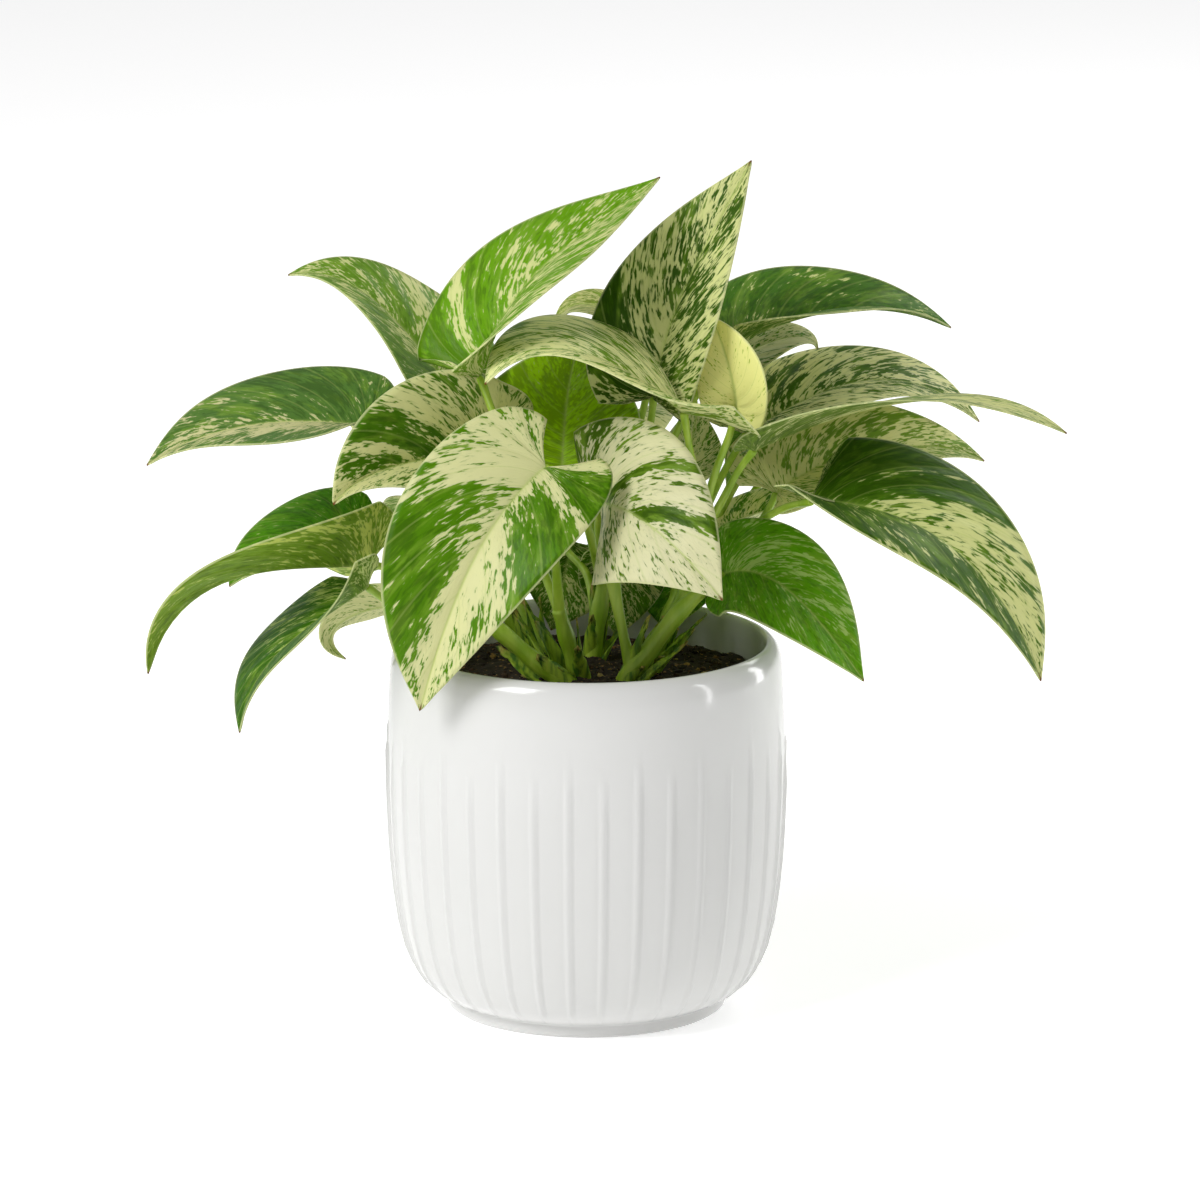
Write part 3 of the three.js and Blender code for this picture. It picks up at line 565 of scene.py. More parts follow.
# %% The leaves of the plant
front = (0, -0.97, 0.24)
above = (0, 0, 1)
usual = {
    "looks": front, "turn": (0, 0, 0), "fold": (14, 14), "lift": (25, 25), "curl": 12,
    "lobes": (0.7, 0.7), "skew": 0, "wave": (1, 1, 0), "middle": (0, 0), "middle_from": 0.4,
}
leaves = {
    "leaf_01": {
        "rib": [(-13, -35, 190), (-32, -49, 170), (-45, -57, 143), (-54, -55, 113)],
        "turn": (-8, -8, -8), "wide": (27, 31), "fold": (22, 22), "lift": (0, 0), "lobes": (1, 1),
        "skew": -0.07, "tone": "cream", "middle": (0.7, 0.85), "middle_from": 0, "deep": "#558806",
        "left_green": [(0, 0.35), (0.09, 0.4), (0.12, 1), (0.33, 1), (0.35, 0.5), (0.42, 0.5),
            (0.44, 1), (0.62, 1), (0.67, 0.5), (0.85, 0.55), (0.92, 0.4), (1, 0.3)],
        "right_green": [(0, 0.3), (0.06, 0.33), (0.07, 0.6), (0.1, 0.6), (0.11, 0.32), (0.45, 0.35),
            (0.5, 1), (0.75, 1), (0.82, 0.58), (0.9, 0.45), (1, 0.3)],
    },
    "leaf_02": {
        "rib": [(-32, 4, 187), (-50, -13, 188), (-68, -26, 186), (-82, -38, 178)],
        "turn": (-18, -20, -23), "wide": (28, 29), "fold": (40, 38), "lift": (0, 25),
        "lobes": (0.3, 2), "skew": -0.06, "tone": "cream", "deep": "#4c7a0c", "pale": "#e4e4a4",
        "left_green": [(0, 0.3), (1, 0.35)],
        "right_green": [(0, 0.33), (0.3, 0.38), (0.62, 0.4), (0.69, 0.85), (0.75, 0.85),
            (0.79, 0.35), (0.83, 0.7), (0.89, 0.7), (0.93, 0.3), (1, 0.25)],
    },
    "leaf_03": {
        "rib": [(-35, -12, 215), (-20, -10, 245), (0, -2, 261), (24, 6, 278)],
        "turn": (56, 52, 48), "wide": (28, 24), "fold": (14, 22), "lift": (20, 50),
        "lobes": (-0.2, 0.1), "skew": -0.05, "tone": "mixed", "deep": "#6ca408",
        "left_green": [(0, 0.3), (0.06, 0.35), (0.1, 1.25), (0.38, 1.25), (0.42, 0.35), (0.46, 0.35),
            (0.5, 1), (0.6, 0.85), (0.66, 0.5), (0.72, 0.75), (0.8, 0.6), (1, 0.5)],
        "right_green": [(0, 0.5), (1, 0.55)],
    },
    "leaf_04": {
        "rib": [(-46, 14, 207), (-63, 22, 227), (-80, 28, 239), (-99, 34, 240)],
        "turn": (-50, -66, -66), "wide": (22, 27), "fold": (12, 22), "lift": (0, 0), "tone": "mixed",
        "deep": "#6e9a28",
        "left_green": [(0, 0.4), (0.25, 0.45), (0.35, 0.9), (0.5, 0.9), (0.6, 0.45), (0.8, 0.7),
            (1, 0.6)],
        "right_green": [(0, 0.35), (0.2, 0.9), (0.4, 0.9), (0.5, 0.45), (0.6, 0.45), (0.7, 0.85),
            (1, 0.5)],
    },
    "leaf_05": {
        "rib": [(-72, 10, 194), (-96, 12, 195), (-121, 10, 192), (-145, 4, 182)],
        "turn": (-58, -60, -62), "wide": (28, 29), "fold": (17, 16), "lift": (20, 0),
        "tone": "green", "middle": (0.45, 0.15), "middle_from": 0.2, "deep": "#5c8438",
        "pale": "#dedaa4",
        "left_green": [(0, 0.8), (0.4, 0.7), (0.7, 0.6), (1, 0.45)],
        "right_green": [(0, 1), (0.7, 0.95), (0.9, 0.65), (1, 0.4)],
    },
    "leaf_06": {
        "rib": [(-71, -2, 150), (-97, -12, 151), (-125, -20, 145), (-144, -24, 118)],
        "turn": (-116, -88, -112), "wide": (28, 26), "fold": (20, 18), "lift": (10, 0), "curl": 0,
        "tone": "green", "deep": "#7aa21c", "pale": "#d2de5c",
        "green": [(0, 0.6), (0.35, 0.5), (0.5, 0.7), (1, 0.9)],
    },
    "leaf_07": {
        "rib": [(-77, 31, 151), (-92, 31, 151), (-107, 29, 145), (-119, 21, 137)],
        "turn": (-50, -55, -50), "wide": (16, 23), "lift": (0, 0), "tone": "green",
        "deep": "#5ca008",
        "left_green": [(0, 0.85), (0.5, 0.8), (1, 0.85)],
        "right_green": [(0, 0.9), (1, 0.9)],
    },
    "leaf_08": {
        "rib": [(-72, -18, 146), (-93, -23, 132), (-107, -26, 118), (-114, -28, 99)],
        "turn": (-64, -64, -64), "wide": (22, 26), "fold": (20, 4), "lift": (35, 0),
        "lobes": (0.4, 0.1), "skew": -0.12, "tone": "green", "deep": "#42760a",
        "left_green": [(0, 0.45), (0.3, 0.5), (0.45, 0.8), (1, 1)],
        "right_green": [(0, 0.5), (0.4, 0.7), (1, 1)],
    },
    "leaf_09": {
        "rib": [(-60, 26, 128), (-73, 30, 127), (-85, 34, 119), (-81, 36, 108)],
        "turn": (-115, -125, -120), "wide": (9, 11), "fold": (20, 20), "lift": (0, 0),
        "lobes": (0.4, 0.4), "curl": 0, "tone": "cream",
        "green": [(0, 0.3), (1, 0.3)],
    },
    "leaf_10": {
        "rib": [(4, -12, 172), (12, -36, 176), (26, -54, 170), (44, -64, 152)],
        "wide": (30, 27), "fold": (5, 5), "lift": (0, 0), "curl": 20,
        "tone": "cream", "deep": "#4a6c08", "pale": "#e0deb4",
        "left_green": [(0, 0.6), (0.15, 0.62), (0.25, 0.5), (0.4, 0.42), (0.55, 0.33), (0.57, 0.9),
            (0.6, 0.9), (0.62, 0.3), (0.74, 0.3), (0.76, 1.1), (0.79, 1.1), (0.81, 0.28), (1, 0.25)],
        "right_green": [(0, 0.5), (0.15, 0.45), (0.25, 0.33), (0.6, 0.3), (1, 0.25)],
    },
    "leaf_11": {
        "rib": [(45, -8, 148), (61, -16, 148), (76, -24, 136), (91, -30, 117)],
        "turn": (38, 40, 40), "wide": (23, 22), "fold": (6, 12), "lift": (0, 0), "tone": "green",
        # The pale green streaks of leaf_11 are partly its own marbling and partly a painted sheen.
        "deep": "#68a810", "pale": "#b4d078",
        "left_green": [(0, 1.1), (0.2, 0.75), (0.5, 0.62), (0.8, 0.72), (1, 1)],
        "right_green": [(0, 1.1), (0.6, 0.85), (1, 1)],
    },
    "leaf_12": {
        "rib": [(74, -6, 172), (107, -16, 167), (132, -24, 148), (149, -30, 117)],
        "turn": (56, 54, 50), "wide": (35, 30), "fold": (11, 13), "lift": (10, 35),
        "lobes": (0.1, -1), "skew": 0.07, "tone": "mixed", "deep": "#466f0c",
        "left_green": [(0, 0.5), (0.15, 0.55), (0.2, 0.7), (0.24, 1.2), (0.42, 1.2), (0.45, 0.6),
            (0.5, 1.1), (0.55, 1), (0.6, 0.42), (0.8, 0.42), (1, 0.3)],
        "right_green": [(0, 0.85), (0.5, 0.8), (1, 0.75)],
    },
    "leaf_13": {
        "rib": [(63, 20, 169), (84, 28, 179), (109, 34, 182), (133, 38, 176)],
        "turn": (45, 52, 60), "wide": (28, 20), "lift": (10, 0), "tone": "cream", "deep": "#7c9e38",
        "pale": "#e6e6a6",
        "left_green": [(0, 0.25), (0.5, 0.35), (0.8, 0.55), (1, 0.6)],
        "right_green": [(0, 0.3), (0.5, 0.35), (0.8, 0.55), (1, 0.6)],
    },
    "leaf_14": {
        "rib": [(53, 30, 187), (77, 42, 198), (104, 50, 201), (132, 54, 186)],
        "turn": (58, 62, 62), "wide": (31, 16), "fold": (8, 5), "lift": (0, 0), "lobes": (0.2, 0.4),
        "tone": "mixed", "deep": "#507a0a", "pale": "#f6f6b8",
        "left_green": [(0, 0.52), (0.5, 0.5), (1, 0.48)],
        "right_green": [(0, 0.48), (1, 0.48)],
    },
    "leaf_15": {
        "rib": [(55, -4, 189), (87, -2, 201), (123, 0, 205), (158, -2, 194)],
        "turn": (89, 87, 60), "wide": (20, 26), "fold": (3, 3), "lift": (0, 10), "lobes": (0.4, 0.4),
        "curl": 0, "tone": "mixed", "middle": (0.4, 0.4), "deep": "#6d8c3c",
        "green": [(0, 0.75), (0.6, 0.7), (0.8, 0.4), (1, 0.35)],
    },
    "leaf_16": {
        "rib": [(47, 26, 217), (69, 34, 225), (95, 42, 227), (122, 50, 219)],
        "turn": (68, 70, 72), "wide": (36, 26), "fold": (18, 22), "lift": (0, 15),
        "lobes": (0.4, 0.4), "tone": "green", "deep": "#4a7c10", "pale": "#e4e89a",
        "left_green": [(0, 0.9), (0.4, 0.85), (0.7, 0.95), (1, 0.9)],
        "right_green": [(0, 0.6), (0.4, 0.7), (1, 0.85)],
    },
    "leaf_17": {
        "rib": [(32, -16, 204), (12, -24, 220), (-11, -30, 228), (-33, -34, 217)],
        "turn": (-68, -68, -70), "wide": (24, 29), "fold": (10, 10), "lift": (45, 0),
        "lobes": (-0.6, 0.1), "skew": -0.28, "tone": "cream", "pale": "#f4f5b4", "deep": "#78a028",
        "green": [(0, 0.45), (0.3, 0.42), (0.6, 0.38), (1, 0.3)],
    },
    "leaf_18": {
        "rib": [(-8, 8, 181), (-7, 18, 196), (-5, 28, 208), (-2, 38, 218)],
        "turn": (10, 10, 10), "wide": (32, 26), "fold": (10, 10), "lift": (0, 0), "lobes": (1.4, 1),
        "tone": "green", "deep": "#a8d80c",
        "left_green": [(0, 1.2), (1, 1.2)],
        "right_green": [(0, 0.9), (0.3, 0.9), (0.5, 1), (1, 1)],
    },
    "leaf_19": {
        "rib": [(22, 12, 203), (29, 9, 232), (40, 10, 256), (54, 14, 282)],
        "turn": (42, 40, 34), "wide": (25, 28), "fold": (24, 24), "lift": (60, 0),
        "lobes": (0.1, -0.6), "tone": "mixed", "deep": "#3a5e08",
        "left_green": [(0, 0.6), (0.28, 0.55), (0.32, 1.2), (0.48, 1.2), (0.53, 0.5), (1, 0.38)],
        "right_green": [(0, 0.5), (0.5, 0.52), (1, 0.45)],
    },
    "leaf_20": {
        "rib": [(23, 40, 211), (12, 44, 223), (-1, 50, 227), (-11, 54, 219)],
        "turn": (-65, -65, -65), "wide": (18, 16), "tone": "mixed", "pale": "#cfd08a",
        "deep": "#84983c",
        "green": [(0, 0.5), (1, 0.5)],
    },
    "leaf_21": {
        "rib": [(36, 52, 194), (49, 57, 206), (67, 62, 213), (78, 68, 208)],
        "turn": (55, 60, 60), "wide": (20, 20), "tone": "cream",
        "green": [(0, 0.35), (1, 0.35)],
    },
    "leaf_22": {
        "rib": [(60, 58, 181), (56, 60, 176), (52, 61, 170), (47, 61, 162)],
        "turn": (-120, -120, -120), "wide": (12, 12), "tone": "green",
        "green": [(0, 1), (1, 1)],
    },
    "leaf_23": {
        "rib": [(34, 30, 172), (35, 36, 180), (36, 41, 187), (38, 45, 194)],
        "wide": (10, 11), "tone": "cream",
        "green": [(0, 0.4), (1, 0.4)],
    },
    "leaf_24": {
        "rib": [(48, 30, 150), (61, 38, 159), (75, 45, 161), (91, 52, 157)],
        "turn": (75, 75, 75), "wide": (20, 14), "tone": "cream",
        "green": [(0, 0.45), (1, 0.45)],
    },
    "leaf_25": {
        "rib": [(-41, 48, 177), (-56, 68, 186), (-67, 90, 181), (-74, 108, 163)],
        "looks": above, "wide": (28, 20), "tone": "mixed",
        "left_green": [(0, 0.6), (1, 0.5)],
        "right_green": [(0, 0.4), (1, 0.6)],
    },
    "leaf_26": {
        "rib": [(-1, 50, 179), (2, 76, 182), (6, 98, 172), (9, 114, 146)],
        "looks": above, "wide": (26, 29), "tone": "cream",
        "left_green": [(0, 0.3), (0.5, 0.35), (0.55, 1.1), (0.7, 1.1), (0.75, 0.3), (1, 0.3)],
        "right_green": [(0, 0.4), (1, 0.3)],
    },
    "leaf_27": {
        "rib": [(66, 70, 172), (80, 84, 178), (94, 98, 172), (106, 110, 150)],
        "looks": above, "wide": (26, 26), "tone": "green",
        "left_green": [(0, 0.9), (1, 0.8)],
        "right_green": [(0, 0.8), (0.4, 0.6), (1, 0.9)],
    },
    "leaf_28": {
        "rib": [(-34, 50, 150), (-44, 70, 152), (-50, 88, 140), (-54, 100, 114)],
        "looks": above, "wide": (25, 25), "tone": "mixed",
        "left_green": [(0, 0.5), (1, 0.7)],
        "right_green": [(0, 0.7), (1, 0.5)],
    },
    "leaf_29": {
        "rib": [(16, 54, 150), (18, 76, 152), (20, 96, 140), (22, 108, 114)],
        "looks": above, "wide": (26, 26), "tone": "cream",
        "left_green": [(0, 0.3), (1, 0.3)],
        "right_green": [(0, 0.4), (0.4, 1), (0.6, 1), (0.64, 0.3), (1, 0.3)],
    },
    "leaf_30": {
        "rib": [(-5, 42, 147), (-7, 46, 137), (-9, 47, 127), (-12, 45, 116)],
        "wide": (20, 16), "lift": (0, 0), "tone": "mixed",
        "left_green": [(0, 0.65), (1, 0.65)],
        "right_green": [(0, 0.75), (1, 0.65)],
    },
    "leaf_31": {
        "rib": [(30, 41, 139), (29, 44, 132), (28, 44, 125), (27, 42, 116)],
        "wide": (14, 14), "lift": (0, 0), "tone": "green",
        "green": [(0, 0.9), (1, 0.9)],
    },
    "leaf_32": {
        "rib": [(11, 33, 146), (11, 36, 137), (11, 37, 127), (10, 35, 116)],
        "wide": (16, 14), "lift": (0, 0), "tone": "mixed",
        "left_green": [(0, 0.65), (1, 0.6)],
        "right_green": [(0, 0.6), (1, 0.65)],
    },
    "young_leaf": {
        "rib": [(49, -6, 203), (48, -9, 212), (45, -7, 223), (41, -2, 233)],
        "turn": (20, 20, 20), "wide": (12, 15), "fold": (25, 25), "lift": (15, 15),
        "lobes": (0.1, 0.1), "curl": 0, "wave": (0, 1, 0), "tone": "young", "pale": "#f6f4a6",
        "left_green": [(0, 0.35), (0.4, 0.25), (1, 0.05)],
        "right_green": [(0, 0.05), (1, 0.05)],
    },
}
print("leaves:", len(leaves))

# %% [markdown]
# ## Bending a leaf
#
# For any point of the flat leaf, the midrib gives a place and a direction. The face is turned about
# that direction, each half leaves it at its fold, stands up more where the lobes go round the stalk
# and curls down to the margin. Doing that to all points at once with arrays keeps it quick.

# %% Bend the flat leaf
midrib_steps = 200
lift_fade = 5


def unit(vectors):
    return vectors / np.linalg.norm(vectors, axis=1)[:, None]


def midrib(points):
    """A cubic curve through four points, as its length up to each step, the places and directions.

    It passes the second and the third point at a third and at two thirds of its way.
    """
    start, one, two, end = (np.array(p, float) for p in points)
    near = (-5 * start + 18 * one - 9 * two + 2 * end) / 6
    far = (-5 * end + 18 * two - 9 * one + 2 * start) / 6
    t = np.linspace(0, 1, midrib_steps + 1)[:, None]
    u = 1 - t
    places = u ** 3 * start + 3 * u * u * t * near + 3 * u * t * t * far + t ** 3 * end
    ways = unit(u * u * (near - start) + 2 * u * t * (far - near) + t * t * (end - far))
    run = np.concatenate([[0], np.cumsum(np.linalg.norm(np.diff(places, axis=0), axis=1))])
    return run, places, ways


def by_half(y, pair):
    """The first of a pair for points in the left half of a leaf, and the second for the right."""
    return np.where(y < 0, pair[1], pair[0])


def bend_leaf(leaf, plain_x, y, raised):
    """Where points of the flat leaf come to, in millimetres, lifted by `raised` off the surface."""
    run, places, ways = midrib(leaf["rib"])
    sign = by_half(y, (1.0, -1.0))
    s = np.abs(y)
    x = plain_x * np.where(plain_x < 0, by_half(y, leaf["lobes"]), 1) + leaf["skew"] * y
    along = np.clip(x, 0, 1)
    at = along * run[-1]
    way = unit(np.stack([np.interp(at, run, ways[:, i]) for i in range(3)], axis=1))
    place = np.stack([np.interp(at, run, places[:, i]) for i in range(3)], axis=1)
    place += way * ((x - along) * run[-1])[:, None]
    looks = np.array(leaf["looks"], float)
    level = unit(looks - way * (way @ looks)[:, None])
    side = np.cross(level, way)
    joint, halfway, tip = leaf["turn"]
    turn = np.radians(joint * (1 - along) * (1 - 2 * along) + halfway * 4 * along * (1 - along)
                      + tip * along * (2 * along - 1))[:, None]
    up = level * np.cos(turn) + side * np.sin(turn)
    left = np.cross(up, way)
    fold = np.radians(by_half(y, leaf["fold"]) + by_half(y, leaf["lift"]) * (1 - along) ** lift_fade)
    curl = math.radians(leaf["curl"])
    bend = curl * s / 2
    reach = by_half(y, leaf["wide"]) * s * np.sinc(bend / math.pi)
    height, cycles, phase = leaf["wave"]
    wave = height * np.sin(2 * math.pi * (cycles * x + phase + by_half(y, (0, 0.25)))) * s * s
    slope = np.where(s == 0, 0, fold - curl * s)
    normal = up * np.cos(slope)[:, None] - left * (sign * np.sin(slope))[:, None]
    across = (sign * reach * np.cos(fold - bend))[:, None]
    rise = (reach * np.sin(fold - bend) + wave)[:, None]
    return place + left * across + up * rise + normal * raised[:, None]


def values_of(mesh, name):
    values = np.zeros(len(mesh.vertices))
    mesh.attributes[name].data.foreach_get("value", values)
    return values


flat_spots = np.array([vertex.co for vertex in flat_leaf.data.vertices])
flat_x, flat_y = flat_spots[:, 0], flat_spots[:, 1]
veins, acrosses = values_of(flat_leaf.data, "vein"), values_of(flat_leaf.data, "across")
print("points in each leaf:", len(flat_spots))

# %% [markdown]
# ## Relief and pattern
#
# A shallow groove runs over the midrib, and the blade swells a little between its side veins. Both
# are worked out for every point, like the share of green and the pale line of the midrib, so that
# each leaf can carry them in its own mesh.

# %% Work out the relief and the pattern
groove_depth = 0.32
groove_width = 1.1
swelling_height = 0.22
swelling_count = 9
full_swelling = 25
middle_fade = 0.5
line_width = 0.6
line_taper = 0.35


def relief(leaf):
    """The groove over the midrib and the swelling between side veins, in millimetres."""
    half_width = by_half(flat_y, leaf["wide"])
    groove = -groove_depth * np.exp(-(np.abs(flat_y) * half_width / groove_width) ** 2)
    u = np.abs(acrosses)
    swelling = swelling_height * np.sin(2 * math.pi * swelling_count * veins) * u * (1 - u) * 4
    return groove * (1 - veins) ** 0.5 + swelling * np.clip(half_width / full_swelling, 0.3, 1)


def green_shares(leaf):
    """The share of green at every point, less of it along a pale middle."""
    left, right = (leaf.get(half, leaf.get("green")) for half in ("left_green", "right_green"))
    shares = by_half(flat_y, (np.interp(veins, *zip(*left)), np.interp(veins, *zip(*right))))
    begun = np.clip((veins - leaf["middle_from"]) / middle_fade, 0, 1)
    return shares - by_half(flat_y, leaf["middle"]) * begun * (1 - np.abs(acrosses)) ** 2


def midrib_line(leaf):
    """How much of the midrib's pale line shows at every point."""
    width = line_width - line_taper * np.clip(flat_x, 0, 1)
    return np.exp(-(np.abs(flat_y) * by_half(flat_y, leaf["wide"]) / width) ** 2)


print("swellings on each half:", swelling_count)

# %% [markdown]
# ## Marbling
#
# The cream and the green of this plant grow in sectors that follow the side veins, with flecks of
# each in the other. One field does both: each leaf has a share of green for each vein, and noise
# that is stretched along the veins is added to it. Where the sum passes a half the leaf is green,
# and a few quick steps of colour round that value give the pale halo, the grey green and the deep
# green that the real leaf shows.

# %% Mix the marbling
streaks = ((8, 1.0, 0.8), (27, 2.8, 1.3), (85, 9, 1.9))
half_gap = 5.3
mottled_green = tint("#8fb43a")
grey_green = tint("#a9b870")
darkest_green = tint("#1c3802")


def leaf_map(tree):
    """The vein that a point lies on, how far out it is, and its half, from the leaf's own map."""
    uv = add_node(tree, "UVMap", uv_map="veins").outputs[0]
    split = add_node(tree, "SeparateXYZ", {"Vector": uv})
    offset = sum_of(tree, "SUBTRACT", split.outputs["Y"], 0.5)
    across = sum_of(tree, "MULTIPLY", sum_of(tree, "ABSOLUTE", offset), 2)
    return split.outputs["X"], across, sum_of(tree, "SIGN", offset)


def vein_grain(tree, spot, stretch, **settings):
    """Noise that is stretched along the veins, with a layer of its own for each leaf."""
    vein, across, layer = spot
    sockets = {
        "X": sum_of(tree, "MULTIPLY", vein, stretch[0]),
        "Y": sum_of(tree, "MULTIPLY", across, stretch[1]),
        "Z": layer,
    }
    return grain(tree, add_node(tree, "CombineXYZ", sockets).outputs[0], 1, **settings)


def marble_field(tree, vein, across, side, number):
    """The share of green plus three sizes of noise along the veins."""
    field = attribute(tree, "green")
    layer = sum_of(tree, "MULTIPLY_ADD", side, half_gap, number)
    for vein_scale, across_scale, weight in streaks:
        noise_value = vein_grain(
            tree, (vein, across, layer), (vein_scale, across_scale), detail=2.5, distortion=0.4)
        centred = sum_of(tree, "MULTIPLY_ADD", noise_value, weight, -0.5 * weight)
        field = sum_of(tree, "ADD", field, centred)
    return field


def colour_steps(tree, field, pale, deep, mottle):
    """Cream, halo, grey green, mottled green and deep green round the middle of the field."""
    deep = blend_colours(tree, sum_of(tree, "MULTIPLY", mottle, 0.5), deep, mottled_green)
    steps = (
        (0.2, 0.44, blend_colours(tree, 0.12, pale, deep)),
        (0.45, 0.47, blend_colours(tree, 0.35, pale, deep)),
        (0.5, 0.52, blend_colours(tree, 0.4, deep, grey_green)),
        (0.56, 0.62, deep),
        (0.8, 1.25, blend_colours(tree, 0.4, deep, darkest_green)),
    )
    colour = pale
    for low, high, next_colour in steps:
        colour = blend_colours(tree, soft_step(tree, field, low, high), colour, next_colour)
    return colour


print("sizes of streaks:", len(streaks))

# %% [markdown]
# ## The skin of a blade
#
# Over the marbling lie faint side veins, the pale midrib, a pale rim and a brown tip. The skin has
# fine ridges and a waxy shine, and a thin blade lets some light through, which a share of a
# translucent shader gives. The underside is the same pattern, paler and duller.

# %% Finish the blades
pale_line = tint("#dfe3a8")
vein_line = tint("#b9ca70")
tip_brown = tint("#7a4a22")
under_pale = tint("#e4e6a6")
under_deep = tint("#93a848")
under_share = 0.3
upper_roughness, under_roughness = 0.34, 0.55
side_vein_count = 10
ridge_count = 18
ridge_height = 0.12
cloud_gap = 3.1
wax_shine = 0.12
light_through = 0.3


def waves_of(tree, vein, count):
    return sum_of(tree, "SINE", sum_of(tree, "MULTIPLY", vein, 2 * math.pi * count))


def draw_lines(tree, colour, vein, across):
    """Faint side veins, the midrib, the rim and the tip, over the marbling."""
    lines = (
        (soft_step(tree, waves_of(tree, vein, side_vein_count), 0.95, 1), 0.22, vein_line),
        (attribute(tree, "midrib"), 0.6, vein_line),
        (soft_step(tree, across, 0.975, 0.995), 0.65, pale_line),
        (soft_step(tree, vein, 0.985, 0.997), 1, tip_brown),
    )
    for share, strength, line_colour in lines:
        colour = blend_colours(tree, sum_of(tree, "MULTIPLY", share, strength), colour, line_colour)
    return colour


def blade_material(name, under):
    material, tree, shader = finish(name, under_roughness if under else upper_roughness)
    vein, across, side = leaf_map(tree)
    number = attribute(tree, "number")
    pale, deep = attribute(tree, "pale", "Color"), attribute(tree, "deep", "Color")
    if under:
        pale = blend_colours(tree, under_share, pale, under_pale)
        deep = blend_colours(tree, under_share, deep, under_deep)
    field = marble_field(tree, vein, across, side, number)
    cloud_layer = sum_of(tree, "MULTIPLY_ADD", side, cloud_gap, number)
    clouds = vein_grain(tree, (vein, across, cloud_layer), (22, 3), detail=4, distortion=0.6)
    colour = colour_steps(tree, field, pale, deep, soft_step(tree, clouds, 0.45, 0.7))
    colour = draw_lines(tree, colour, vein, across)
    tree.links.new(colour, shader.inputs["Base Color"])
    fine = vein_grain(tree, (vein, across, number), (60, 14), detail=3)
    skin = sum_of(tree, "MULTIPLY_ADD", waves_of(tree, vein, ridge_count), ridge_height, fine)
    bump_skin(tree, shader, skin, distance=0.0006, strength=0.35)
    shader.inputs["Specular IOR Level"].default_value = wax_shine
    glow = add_node(tree, "BsdfTranslucent", {"Color": colour})
    mixed = add_node(tree, "MixShader", {0: light_through, 1: shader.outputs[0], 2: glow.outputs[0]})
    tree.links.new(mixed.outputs[0], tree.nodes["Material Output"].inputs["Surface"])
    return material


upper_skin = blade_material("marbled_blade", False)
under_skin = blade_material("blade_underside", True)
print("blade materials:", upper_skin.name, under_skin.name)

# %% [markdown]
# ## Growing the leaves
#
# Each leaf is a copy of the flat one with its own mesh. Its points are bent, its share of green is
# written for every point, and a thickness is added below the drawn surface, with the underside and
# the rim in the paler material.

# %% Grow every leaf
blade_thickness = 0.55
layer_gap = 3.7
creams = {"cream": "#e2e2aa", "mixed": "#dde09c", "green": "#c4d47c", "young": "#f0f1b4"}
greens = {"cream": "#4f8408", "mixed": "#5a8c10", "green": "#54940a", "young": "#b5c948"}


def write_values(mesh, name, values, kind="FLOAT"):
    layer = mesh.attributes.new(name, kind, "POINT")
    field = "color" if kind == "FLOAT_COLOR" else "value"
    layer.data.foreach_set(field, np.ravel(values))


start_piece("leaves")
for number, (name, own) in enumerate(leaves.items()):
    leaf = {**usual, **own}
    mesh = flat_leaf.data.copy()
    mesh.vertices.foreach_set("co", np.ravel(bend_leaf(leaf, flat_x, flat_y, relief(leaf)) * mm))
    write_values(mesh, "green", green_shares(leaf))
    write_values(mesh, "midrib", midrib_line(leaf))
    write_values(mesh, "number", np.full(len(flat_spots), number * layer_gap))
    for key, tones in (("pale", creams), ("deep", greens)):
        colour = tint(leaf.get(key, tones[leaf["tone"]]))
        write_values(mesh, key, np.tile(colour, len(flat_spots)), "FLOAT_COLOR")
    blade = stand_in_scene(name, mesh)
    bpy.ops.object.select_all(action="DESELECT")
    blade.select_set(True)
    bpy.context.view_layer.objects.active = blade
    dress(blade, name + "_blade", [name], [upper_skin, under_skin])
    apply_modifier(
        blade, "SOLIDIFY", thickness=blade_thickness * mm, offset=-1, material_offset=1,
        material_offset_rim=1)
    bpy.ops.object.shade_smooth()
bpy.data.objects.remove(flat_leaf)
print("leaves grown:", len(leaves))

# %% [markdown]
# ## Stems and stalks
#
# A pothos stem is short here and its leaf stalks leave it like fingers. Each is a tube along a
# smooth line through the same points as in the solids, a little thicker where its sheath clasps the
# stem and just below the blade. Here each vine has its stem, and for each stalk a place on the stem,
# from 0 at its foot to 1 at its top, and the points that it passes on its way to the blade.

